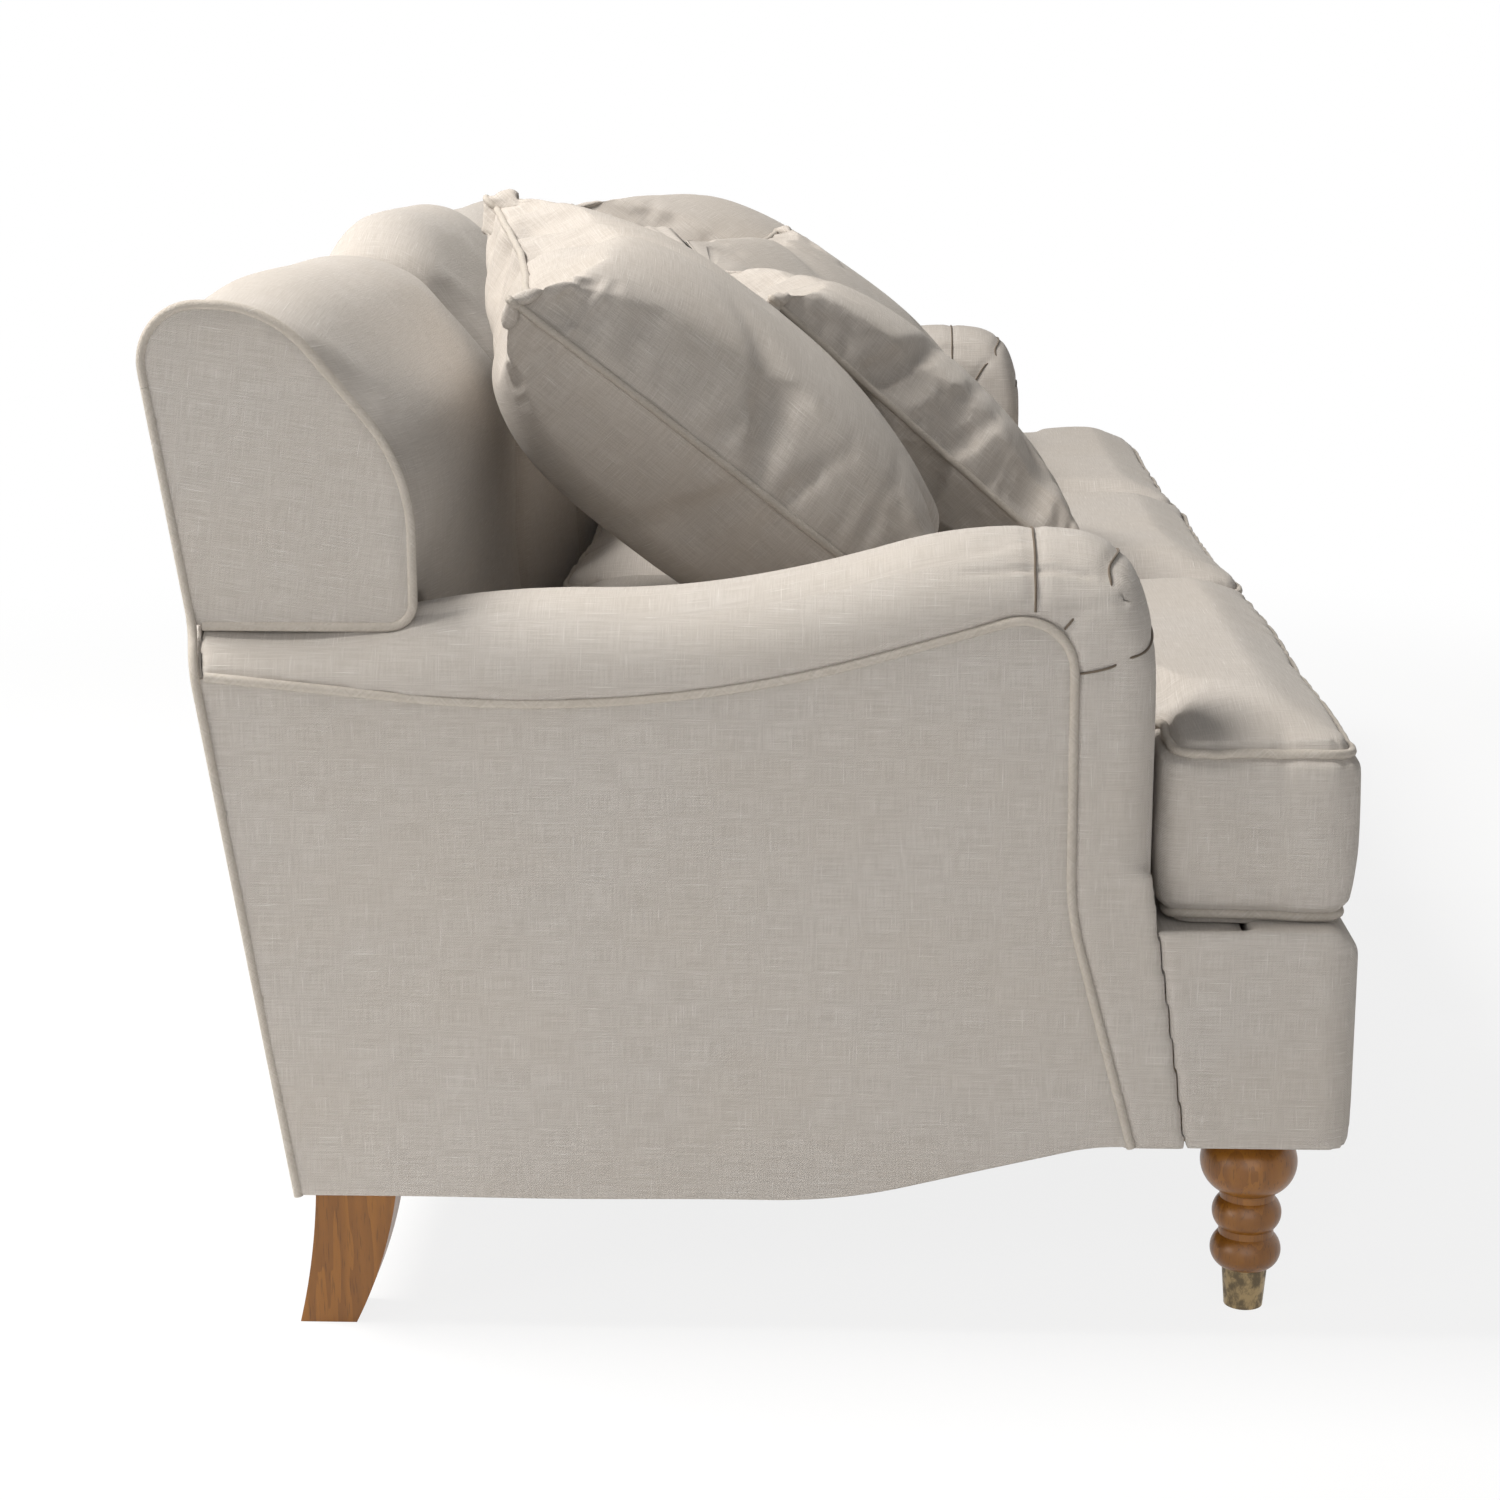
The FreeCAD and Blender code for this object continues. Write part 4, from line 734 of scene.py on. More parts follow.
    def map_weave(self, lay: Lay, local: Matrix | None = None) -> None:
        """Lay the weave on the faces, seen along each face's main direction.

        Args:
            lay: how the weft runs on faces that look up.
            local: the piece's own axes, where they aren't the sofa's.
        """
        inverse = np.array((local or Matrix.Identity(4)).inverted())
        points = self.points @ inverse[:3, :3].T + inverse[:3, 3]
        count = len(self.mesh.polygons)
        normals = np.empty(count * 3)
        self.mesh.polygons.foreach_get("normal", normals)
        facing = np.abs(normals.reshape(-1, 3) @ inverse[:3, :3].T).argmax(1)
        totals = np.empty(count, int)
        self.mesh.polygons.foreach_get("loop_total", totals)
        corners = np.empty(len(self.mesh.loops), int)
        self.mesh.loops.foreach_get("vertex_index", corners)
        facing = np.repeat(facing, totals)
        up = (0, 1) if lay is Lay.ACROSS else (1, 0)
        across = np.choose(facing, [1, 0, up[0]])
        along = np.choose(facing, [2, 2, up[1]])
        places = points[corners]
        rows = np.arange(len(corners))
        flat = np.column_stack([places[rows, across], places[rows, along]])
        layer = self.mesh.uv_layers.get(WEAVE) or self.mesh.uv_layers.new(name=WEAVE)
        layer.data.foreach_set("uv", flat.ravel())

    def piece(self, material: bpy.types.Material, slot: str, nodes: tuple[str, ...],
              fill: float | None = None) -> bpy.types.Object:
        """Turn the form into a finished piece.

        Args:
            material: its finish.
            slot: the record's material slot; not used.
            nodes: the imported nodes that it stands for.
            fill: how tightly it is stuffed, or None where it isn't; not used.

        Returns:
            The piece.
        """
        self.mesh.materials.clear()
        self.mesh.materials.append(material)
        self.mesh.shade_smooth()
        if not self.rounded:
            self.mesh.set_sharp_from_angle(angle=math.radians(SHARP_ANGLE))
        made = bpy.data.objects.new(self.name, self.mesh)
        return filed(made, nodes)


def filling_points(rim: np.ndarray, spacing: float, insets: tuple) -> np.ndarray:
    """Points that fill a flat outline: rows inside its edge, then an even grid.

    Args:
        rim: the outline's points in order.
        spacing: the grid's spacing.
        insets: how far each row lies inside the edge.

    Returns:
        The points.
    """
    ahead, behind = np.roll(rim, -1, 0), np.roll(rim, 1, 0)
    heading = ahead - behind
    sideways = np.column_stack([-heading[:, 1], heading[:, 0]])
    sideways /= np.linalg.norm(sideways, axis=1, keepdims=True)
    area = np.sum(rim[:, 0] * ahead[:, 1] - ahead[:, 0] * rim[:, 1])
    rows = [rim[::2] + sideways[::2] * inset * np.sign(area) for inset in insets]
    low, high = rim.min(0) + spacing / 2.0, rim.max(0)
    rows_of = [np.arange(low[axis], high[axis], spacing) for axis in (0, 1)]
    grid = np.stack(np.meshgrid(*rows_of), -1).reshape(-1, 2)
    inside = np.zeros(len(grid), bool)
    for first, second in zip(rim, ahead):
        crosses = (first[1] > grid[:, 1]) != (second[1] > grid[:, 1])
        fall = second[1] - first[1] if second[1] != first[1] else 1e-12
        crossing = (second[0] - first[0]) * (grid[:, 1] - first[1]) / fall + first[0]
        inside ^= crosses & (grid[:, 0] < crossing)
    clear = np.min(np.linalg.norm(grid[:, None, :] - rim[None, ::2, :], axis=2), axis=1) > spacing * 0.6
    return np.vstack([*rows, grid[inside & clear]])


def keep_outer_shell(work: bmesh.types.BMesh) -> None:
    """Delete every shell of a mesh but the widest one."""
    left = set(work.verts)
    shells = []
    while left:
        start = left.pop()
        shell, edge_of = {start}, [start]
        while edge_of:
            for edge in edge_of.pop().link_edges:
                for vert in edge.verts:
                    if vert in left:
                        left.remove(vert)
                        shell.add(vert)
                        edge_of.append(vert)
        shells.append(shell)

    def spread(shell: set) -> float:
        """The width of a shell along X."""
        places = [vert.co.x for vert in shell]
        return max(places) - min(places)

    widest = max(shells, key=spread)
    bmesh.ops.delete(work, geom=[vert for vert in work.verts if vert not in widest], context="VERTS")


def through_modifier(mesh: bpy.types.Mesh, kind: str, **settings: object) -> bpy.types.Mesh:
    """A mesh as one modifier leaves it.

    Args:
        mesh: the mesh.
        kind: the modifier's type.
        settings: the modifier's attributes.

    Returns:
        A new plain mesh.
    """
    holder = bpy.data.objects.new("work", mesh)
    bpy.context.scene.collection.objects.link(holder)
    modifier = holder.modifiers.new("work", kind)
    for key, value in settings.items():
        setattr(modifier, key, value)
    evaluated = holder.evaluated_get(bpy.context.evaluated_depsgraph_get())
    made = bpy.data.meshes.new_from_object(evaluated)
    made.name = mesh.name
    bpy.data.objects.remove(holder)
    return made


def filed(piece: bpy.types.Object, nodes: tuple[str, ...] = ()) -> bpy.types.Object:
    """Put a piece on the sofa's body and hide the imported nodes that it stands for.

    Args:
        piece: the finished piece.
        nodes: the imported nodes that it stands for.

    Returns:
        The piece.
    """
    if piece.name not in bpy.context.scene.collection.objects:
        bpy.context.scene.collection.objects.link(piece)
    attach(piece, BODY)
    if nodes:
        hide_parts(*nodes)
    log.info("%s: %d faces", piece.name, len(piece.data.polygons))
    return piece


# Geometry Nodes


class Tree(NodeTree):
    """A Geometry Nodes tree with named inputs."""

    def __init__(self, name: str, inputs: dict[str, tuple[str, object]]) -> None:
        """Start a tree.

        Args:
            name: the tree's name.
            inputs: socket type and first value of each input, by name.
        """
        super().__init__(bpy.data.node_groups.new(name, "GeometryNodeTree"))
        face = self.tree.interface
        face.new_socket("Geometry", in_out="INPUT", socket_type="NodeSocketGeometry")
        face.new_socket("Geometry", in_out="OUTPUT", socket_type="NodeSocketGeometry")
        self.identifiers = {}
        for label, (kind, value) in inputs.items():
            socket = face.new_socket(label, in_out="INPUT", socket_type=kind)
            if value is not None:
                socket.default_value = value
            self.identifiers[label] = socket.identifier
        self.start = self.node("NodeGroupInput")
        self.end = self.node("NodeGroupOutput")

    def close(self, geometry: bpy.types.NodeSocket) -> None:
        """End the tree with real geometry of one material, shaded smooth."""
        real = self.node("GeometryNodeRealizeInstances", Geometry=geometry)
        smooth = self.node("GeometryNodeSetShadeSmooth", Geometry=real.outputs[0])
        dressed = self.node("GeometryNodeSetMaterial", Geometry=smooth.outputs[0],
                            Material=self.start.outputs["Material"])
        self.plug(self.end.inputs[0], dressed.outputs[0])

    def grow(self, name: str, source: bpy.types.Mesh, values: dict[str, object]) -> bpy.types.Object:
        """Run the tree on a mesh and keep the result as a plain mesh.

        Args:
            name: the new piece's name.
            source: the mesh that the tree starts from.
            values: what to set each named input to.

        Returns:
            An object that holds the result.
        """
        holder = bpy.data.objects.new(name + "_source", source)
        bpy.context.scene.collection.objects.link(holder)
        modifier = holder.modifiers.new("tree", "NODES")
        modifier.node_group = self.tree
        for label, value in values.items():
            modifier[self.identifiers[label]] = value
        evaluated = holder.evaluated_get(bpy.context.evaluated_depsgraph_get())
        made = bpy.data.meshes.new_from_object(evaluated)
        bpy.data.objects.remove(holder)
        made.name = name
        return bpy.data.objects.new(name, made)


class CordTree(Tree):
    """A covered cord that follows a route."""

    def __init__(self) -> None:
        """Build the tree."""
        super().__init__("covered cord", {
            "Radius": ("NodeSocketFloat", CORD_RADIUS),
            "Sides": ("NodeSocketInt", 10),
            "Spacing": ("NodeSocketFloat", 0.004),
            "Material": ("NodeSocketMaterial", None),
        })
        given = self.start.outputs
        curve = self.node("GeometryNodeMeshToCurve", Mesh=given["Geometry"])
        even = self.node("GeometryNodeResampleCurve", {"mode": "LENGTH"}, Curve=curve.outputs[0],
                         Length=given["Spacing"])
        way = self.node("GeometryNodeSplineParameter")
        marked = self.node("GeometryNodeCaptureAttribute", {"domain": "POINT"}, Geometry=even.outputs[0])
        marked.capture_items.new("FLOAT", "along")
        self.plug(marked.inputs["along"], way.outputs["Length"])
        ring = self.node("GeometryNodeCurvePrimitiveCircle", Resolution=given["Sides"],
                         Radius=given["Radius"])
        around = self.node("GeometryNodeSplineParameter")
        wrapped = self.node("GeometryNodeCaptureAttribute", {"domain": "POINT"}, Geometry=ring.outputs[0])
        wrapped.capture_items.new("FLOAT", "around")
        self.plug(wrapped.inputs["around"], around.outputs["Length"])
        tube = self.node("GeometryNodeCurveToMesh", Curve=marked.outputs[0], Profile_Curve=wrapped.outputs[0],
                         Fill_Caps=True)
        place = self.node("ShaderNodeCombineXYZ", X=marked.outputs["along"], Y=wrapped.outputs["around"])
        mapped = self.node("GeometryNodeStoreNamedAttribute", {"data_type": "FLOAT2", "domain": "CORNER"},
                           Geometry=tube.outputs[0], Name=WEAVE, Value=place.outputs[0])
        self.close(mapped.outputs[0])


class CordMaker:
    """Makes every covered cord of the sofa, and the dark lines of painted shadow in the arms' pleat seams."""

    def __init__(self, finishes: Finishes) -> None:
        """Keep the finishes and build the tree."""
        self.finishes = finishes
        self.tree = CordTree()

    def cord(self, name: str, routes: list[Route], radius: float, material: bpy.types.Material,
             nodes: tuple[str, ...] = (), sides: int = 10) -> bpy.types.Object:
        """One piece of cord along one or more routes.

        Args:
            name: the piece's name.
            routes: the cords' centre lines.
            radius: the cords' radius.
            material: their finish.
            nodes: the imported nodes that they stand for.
            sides: faces round the cord.

        Returns:
            The piece.
        """
        points, edges = [], []
        for route in routes:
            first = len(points)
            points.extend(tuple(point) for point in route.points)
            last = len(points) - 1
            edges.extend((index, index + 1) for index in range(first, last))
            if route.closed:
                edges.append((last, first))
        source = bpy.data.meshes.new(name)
        source.from_pydata(points, edges, [])
        made = self.tree.grow(name, source, {"Radius": radius, "Sides": sides, "Material": material})
        return filed(made, nodes)


# The sofa's parts


@dataclass
class PanelRoutes:
    """Where the welts run on one side: round the arm panel, the back's end and the rear edge."""

    arm_x: float = 1.043
    end_x: float = 1.016
    rear_lift: float = COVER_INSET

    def arm_panel(self) -> Route:
        """Round the top and front of the outer arm panel."""
        corners = [PANEL_TOE, PANEL_WAIST, PANEL_CROWN, PANEL_DIP,
                   (raked_y(PANEL_REAR_TOP) - self.rear_lift, PANEL_REAR_TOP)]
        return Route.rounded([(self.arm_x, y, z) for y, z in corners], PANEL_RADII)

    def arm_outline(self, x: float) -> Route:
        """The whole outline of the outer arm panel, its scalloped foot included."""
        corners = [PANEL_TOE, PANEL_WAIST, PANEL_CROWN, PANEL_DIP,
                   (raked_y(PANEL_REAR_TOP), PANEL_REAR_TOP), (raked_y(PANEL_LOW), PANEL_LOW),
                   (-0.062, PANEL_LOW), (-0.274, COVER_LOW)]
        radii = [0.0, *PANEL_RADII, 0.0, 0.0, 0.48, 0.18]
        return Route.rounded([(x, y, z) for y, z in corners], radii, closed=True)

    def end_outline(self, x: float) -> Route:
        """The whole outline of the padded end of the back."""
        corners = [(raked_y(END_PANEL_BASE), END_PANEL_BASE), (END_FRONT, END_PANEL_BASE),
                   END_SHOULDER, END_CROWN, (raked_y(END_TOP), END_TOP)]
        return Route.rounded([(x, y, z) for y, z in corners], [0.0, *END_RADII], closed=True)

    def back_end(self) -> Route:
        """Round the padded end of the back."""
        corners = [(raked_y(END_PANEL_BASE) - self.rear_lift, END_PANEL_BASE),
                   (END_FRONT, END_PANEL_BASE), END_SHOULDER, END_CROWN,
                   (raked_y(END_TOP), END_TOP), (raked_y(FRAME_TOP), FRAME_TOP)]
        return Route.rounded([(self.end_x, y, z) for y, z in corners], END_RADII)

    def rear_edge(self) -> Route:
        """Up the rear corner, stepping in over the arm."""
        corners = [(self.arm_x, PANEL_LOW), (self.arm_x, 0.567), (self.end_x, END_PANEL_BASE),
                   (self.end_x, FRAME_TOP - 0.0003)]
        return Route.rounded([(x, raked_y(z), z) for x, z in corners], [0.045, 0.045])


@dataclass
class Arms:
    """The padded arms with their flat outer panels, pleats and welts."""

    finishes: Finishes
    cords: CordMaker
    voxel: float = 0.0042
    panel_thickness: float = 0.0075
    # Radius of the dark cords of painted shadow in the pleat seams.
    seam_shadow_radius: float = 0.0011
    front_corner: tuple = (1.03, -0.286, 0.625)
    corner_swell: float = 0.0045
    corner_reach: float = 0.03
    tape_radius: float = 0.0062
    tape_depth: float = 0.0066
    routes: PanelRoutes = field(default_factory=PanelRoutes)
    surfaces: dict = field(default_factory=dict)

    pleats: tuple = (
        ((1.043, -0.217, 0.618), (1.036, -0.217, 0.645), (1.01, -0.217, 0.668), (0.98, -0.217, 0.678),
         (0.95, -0.217, 0.668), (0.925, -0.217, 0.64), (0.918, -0.217, 0.585)),
        ((1.044, -0.240, 0.604), (1.040, -0.250, 0.616), (1.028, -0.262, 0.634), (0.985, -0.284, 0.655),
         (0.955, -0.284, 0.652), (0.925, -0.262, 0.62), (0.918, -0.24, 0.585)),
        ((1.045, -0.252, 0.568), (1.045, -0.265, 0.570), (1.042, -0.284, 0.575), (1.034, -0.302, 0.585),
         (1.01, -0.314, 0.594), (0.975, -0.315, 0.597), (0.945, -0.314, 0.592)),
    )

    def build(self) -> None:
        """Make both arms."""
        for name, side in SIDES.items():
            self.pad(name, side)
            self.panel(name, side)
            self.welts(name, side)

    def pad(self, name: str, side: float) -> None:
        """The stuffed arm of one side, drawn in along its pleats, with dark lines of painted shadow laid in
        its pleat seams.
        """
        node = f"arm_pad_{name}"
        form = Form.of_node(f"{node}_cover", node, self.voxel)
        form.relax(1)
        form.swell(0.0012)
        surface = form.tree()
        seams = [Route(np.array(pleat) * np.array([side, 1.0, 1.0])).laid_on(surface, 0.0)
                 for pleat in self.pleats]
        corner = np.array(self.front_corner) * np.array([side, 1.0, 1.0])
        reach = np.linalg.norm(form.points - corner, axis=1)
        form.swell(self.corner_swell * np.exp(-((reach / self.corner_reach) ** 2)))
        for seam in seams:
            form.pinch(seam, 0.0018, 0.012)
        form.gather(seams[0], 0.0022, 0.06, 0.012, 11)
        away, _ = self.routes.arm_panel().mirrored(side).nearest(form.points)
        clear = np.clip((away - 0.012) / 0.05, 0.0, 1.0)
        clear *= np.clip((form.points[:, 1] + 0.29) / 0.04, 0.0, 1.0)
        form.dent(0.0022, 4.0, 5, clear)
        self.surfaces[name] = form.tree()
        form.map_weave(Lay.ALONG)
        form.piece(self.finishes.linen, "sofa_linen", (node,), fill=0.7)
        # Dark cords of painted shadow, laid in the pleat seams' hollows.
        lines = [seam.laid_on(self.surfaces[name], 0.0009) for seam in seams]
        self.cords.cord(f"arm_pleat_seams_{name}", lines, self.seam_shadow_radius, self.finishes.seam, sides=6)

    def panel(self, name: str, side: float) -> None:
        """The flat panel on the outside of one arm."""
        node = f"outer_arm_panel_{name}"
        outline = self.routes.arm_outline(HALF_WIDTH).mirrored(side)
        form = Form.of_plate(f"{node}_cover", outline, (-side, 0.0, 0.0), self.panel_thickness)
        route = self.routes.arm_panel().mirrored(side)
        form.gather(route, 0.0011, 0.06, 0.028, 23)
        form.dent(0.0012, 5.0, 9)
        form.map_weave(Lay.ALONG)
        form.piece(self.finishes.linen, "sofa_linen", (node,), fill=0.8)

    def welts(self, name: str, side: float) -> None:
        """The three covered cords of one side."""
        ways = {"arm_welt": self.routes.arm_panel(), "back_end_welt": self.routes.back_end(),
                "rear_edge_welt": self.routes.rear_edge()}
        for label, route in ways.items():
            node = f"{label}_{name}"
            self.cords.cord(f"{node}_cord", [route.mirrored(side)], CORD_RADIUS,
                            self.finishes.piping, (node,), sides=12)
        tape = Route(self.routes.arm_panel().points - np.array([self.tape_depth, 0.0, 0.0]))
        self.cords.cord(f"welt_tape_{name}", [tape.mirrored(side)], self.tape_radius, self.finishes.linen)


@dataclass
class Back:
    """The three padded sections of the back, its ends and the cover behind it."""

    finishes: Finishes
    voxel: float = 0.010
    cap: float = 0.007
    end_thickness: float = 0.0097
    rear_thickness: float = 0.0057
    rear_inward: tuple = (0.0, -1.0, 0.15481)
    surfaces: list = field(default_factory=list)

    def build(self) -> None:
        """Make every piece of the back."""
        for seed, name in enumerate(("left", "centre", "right")):
            self.section(name, seed)
        routes = PanelRoutes()
        for name, side in SIDES.items():
            outline = routes.end_outline(BACK_HALF_WIDTH).mirrored(side)
            self.plate(f"back_end_panel_{name}", outline, (-side, 0.0, 0.0), self.end_thickness,
                       self.finishes.back_linen)
        self.plate("outside_back_panel", self.rear_outline(), self.rear_inward, self.rear_thickness,
                   self.finishes.linen)

    def section(self, name: str, seed: int) -> None:
        """One section, plump between its pleats."""
        node = f"back_pad_{name}"
        low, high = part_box(node)
        form = Form.of_node(f"{node}_cover", node, self.voxel)
        form.relax(2)
        form.swell(-0.003)
        form.stuff(self.cap)
        form.relax(1)
        form.hold(low, (high.x, high.y, high.z + 0.004))
        form.refine()
        for edge in (low.x, high.x):
            if abs(edge) < 0.5:
                height = np.linspace(0.62, 0.93, 40)
                pleat = Route(np.array([(edge, 0.40, z) for z in height]))
                form.gather(pleat, 0.0015, 0.12, 0.03, 31 + seed)
        form.dent(0.004, 2.6, 41 + seed)
        self.surfaces.append(form.tree())
        form.map_weave(Lay.ACROSS)
        form.piece(self.finishes.linen, "sofa_linen", (node,), fill=0.7)

    def rear_outline(self) -> Route:
        """The outline of the cover behind the frame, narrower above the arms."""
        low, high = HALF_WIDTH - COVER_INSET, BACK_HALF_WIDTH - 0.0103
        half = [(low, PANEL_LOW), (low, 0.567), (high, END_PANEL_BASE), (high, FRAME_TOP)]
        outline = half + [(-x, z) for x, z in half[::-1]]
        return Route.rounded([(x, raked_y(z), z) for x, z in outline], [0.0] * 8, closed=True)

    def plate(self, node: str, outline: Route, inward: tuple, thickness: float,
              material: bpy.types.Material) -> None:
        """A thin padded cover that is pulled tight."""
        form = Form.of_plate(f"{node}_cover", outline, inward, thickness)
        form.dent(0.0012, 5.0, 13)
        form.map_weave(Lay.ALONG)
        form.piece(material, "sofa_linen", (node,), fill=0.8)


@dataclass
class Seat:
    """The loose seat cushions, the border below them and the deck they lie on."""

    finishes: Finishes
    cords: CordMaker
    voxel: float = 0.009
    border_voxel: float = 0.0042
    deck_voxel: float = 0.014
    cap: float = 0.009
    regain: float = 0.004
    sag: float = 0.011
    sag_reach: float = 0.045
    tuck: float = 0.013
    corner: float = 0.028
    rear: float = 0.25
    ear_side: float = 1.04
    ear_rear: float = -0.319
    surfaces: list = field(default_factory=list)

    def build(self) -> None:
        """Make the seat."""
        for seed, (name, side) in enumerate({"left": -1.0, "centre": 0.0, "right": 1.0}.items()):
            self.cushion(name, side, seed)
        self.border()
        self.deck()

    def seam(self, side: float, inset: float, height: float) -> Route:
        """The outline of a cushion's seam at one height.

        Args:
            side: -1, 0 or 1 for the left, middle and right cushion.
            inset: how far the seam is drawn in.
            height: its height.

        Returns:
            The closed seam.
        """
        front, rear = FRONT + inset, self.rear - inset
        if side == 0.0:
            half = SEAT_EDGE - inset
            plan = [(-half, front), (half, front), (half, rear), (-half, rear)]
            radii = [self.corner] * 4
        else:
            inner, arm = SEAT_EDGE + inset, ARM_INNER - inset
            plan = [(self.ear_side - inset, front), (self.ear_side - inset, self.ear_rear - inset),
                    (arm, self.ear_rear - inset), (arm, rear), (inner, rear), (inner, front)]
            plan = [(side * x, y) for x, y in plan]
            radii = [self.corner, self.corner, 0.01, self.corner, self.corner, self.corner]
        return Route.rounded([(x, y, height) for x, y in plan], radii, closed=True)

    def cushion(self, name: str, side: float, seed: int) -> None:
        """One cushion: its cover, which also stands for the core, and the cord in its two seams."""
        node = f"seat_cushion_{name}"
        low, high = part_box(node)
        form = Form.of_node(f"{node}_cover", node, self.voxel)
        form.relax(2)
        form.swell(-0.004)
        form.stuff(self.cap)
        form.swell(self.regain)
        form.relax(1)
        form.hold(low, (high.x, high.y, high.z + 0.006))
        points = form.points
        depth = (CUSHION_BASE + self.sag_reach - points[:, 2]) / self.sag_reach
        points[:, 2] -= self.sag * np.clip(depth, 0.0, 1.0)
        form.points = points
        form.refine()
        surface = form.tree()
        seams = [self.seam(side, self.tuck * 0.6, CUSHION_BASE + CUSHION_HEIGHT),
                 self.seam(side, self.tuck * 0.4, CUSHION_BASE - 0.003)]
        laid = [seam.laid_on(surface, 0.0).softened(6) for seam in seams]
        for seam in laid:
            form.pinch(seam, 0.005, 0.016)
        form.gather(laid[0], 0.003, 0.05, 0.016, 51 + seed * 7)
        form.gather(laid[1], 0.0015, 0.03, 0.02, 53 + seed * 7)
        form.dent(0.005, 3.0, 61 + seed)
        form.relax(1, 0.3)
        self.surfaces.append(form.tree())
        form.map_weave(Lay.ACROSS)
        form.piece(self.finishes.linen, "sofa_linen", (node, f"seat_core_{name}"), fill=0.75)
        cords = [seam.laid_on(self.surfaces[-1], CORD_RADIUS * 0.35) for seam in laid]
        self.cords.cord(f"cushion_piping_{name}", cords, CORD_RADIUS, self.finishes.piping, sides=10)

    def border(self) -> None:
        """The padded front under the cushions."""
        form = Form.of_node("front_border_cover", "front_border", self.border_voxel)
        form.relax(1)
        form.swell(0.0006)
        points = form.points
        inside = np.clip((1.0 - np.abs(points[:, 0])) / 0.1, 0.0, 1.0)
        inside *= np.clip((0.34 - points[:, 2]) / 0.05, 0.0, 1.0)
        form.dent(0.003, 3.5, 71, inside)
        form.map_weave(Lay.ACROSS)
        form.piece(self.finishes.linen, "sofa_linen", ("front_border",), fill=0.75)

    def deck(self) -> None:
        """The quilted deck under the cushions."""
        deck = Form.of_node("seat_deck", "seat_deck_pad", self.deck_voxel)
        deck.relax(1)
        deck.map_weave(Lay.ACROSS)
        deck.piece(self.finishes.linen, "sofa_linen", ("seat_deck_pad",), fill=0.8)


@dataclass
class Pillow:
    """One loose throw pillow with a cord in its seam."""

    name: str
    centre: tuple
    turn: float
    lean: float
    roll: float
    width: float
    front: float
    rear: float
    seed: int
    waist: float = 0.022
    divisions: int = 84
    edge_power: float = 2.5
    plumpness: float = 0.52
    crowding: float = 0.82

    def place(self) -> Matrix:
        """Where the pillow lies and how it leans."""
        turned = Matrix.Rotation(math.radians(self.turn), 4, "Z")
        leaned = Matrix.Rotation(math.radians(90.0 - self.lean), 4, "X")
        rolled = Matrix.Rotation(math.radians(self.roll), 4, "Z")
        return Matrix.Translation(self.centre) @ turned @ leaned @ rolled

    def form(self) -> tuple[Form, np.ndarray]:
        """The plump cover in its own axes, and the vertices of its seam.

        Returns:
            The form and the seam's vertex numbers in order.
        """
        count = self.divisions
        half = self.width / 2.0
        bend = math.pi / 2.0 * self.crowding
        ticks = np.sin(np.linspace(-1.0, 1.0, count + 1) * bend) / math.sin(bend)
        across, up = np.meshgrid(ticks, ticks, indexing="ij")
        x = across * (half - self.waist * (1.0 - up ** 2))
        y = up * (half - self.waist * (1.0 - across ** 2))
        swell = (1.0 - np.abs(across) ** self.edge_power) * (1.0 - np.abs(up) ** self.edge_power)
        swell = np.maximum(swell, 0.0) ** self.plumpness
        front = np.stack([x, y, swell * self.front], -1).reshape(-1, 3)
        rear = np.stack([x, y, -swell * self.rear], -1).reshape(-1, 3)
        number = np.arange((count + 1) ** 2).reshape(count + 1, count + 1)
        rim = np.zeros_like(number, bool)
        rim[[0, -1], :] = rim[:, [0, -1]] = True
        behind = np.where(rim, number, 0)
        inner = ~rim
        behind[inner] = len(front) + np.arange(inner.sum())
        points = np.vstack([front, rear[inner.ravel()]])
        quads = [number[:-1, :-1], number[1:, :-1], number[1:, 1:], number[:-1, 1:]]
        backs = [behind[:-1, :-1], behind[:-1, 1:], behind[1:, 1:], behind[1:, :-1]]
        faces = np.vstack([np.stack(corner, -1).reshape(-1, 4) for corner in (quads, backs)])
        mesh = bpy.data.meshes.new(f"{self.name}_cover")
        mesh.from_pydata(points.tolist(), [], faces.tolist())
        seam = np.concatenate([number[:-1, 0], number[-1, :-1], number[:0:-1, -1], number[0, :0:-1]])
        return Form(f"{self.name}_cover", mesh), seam


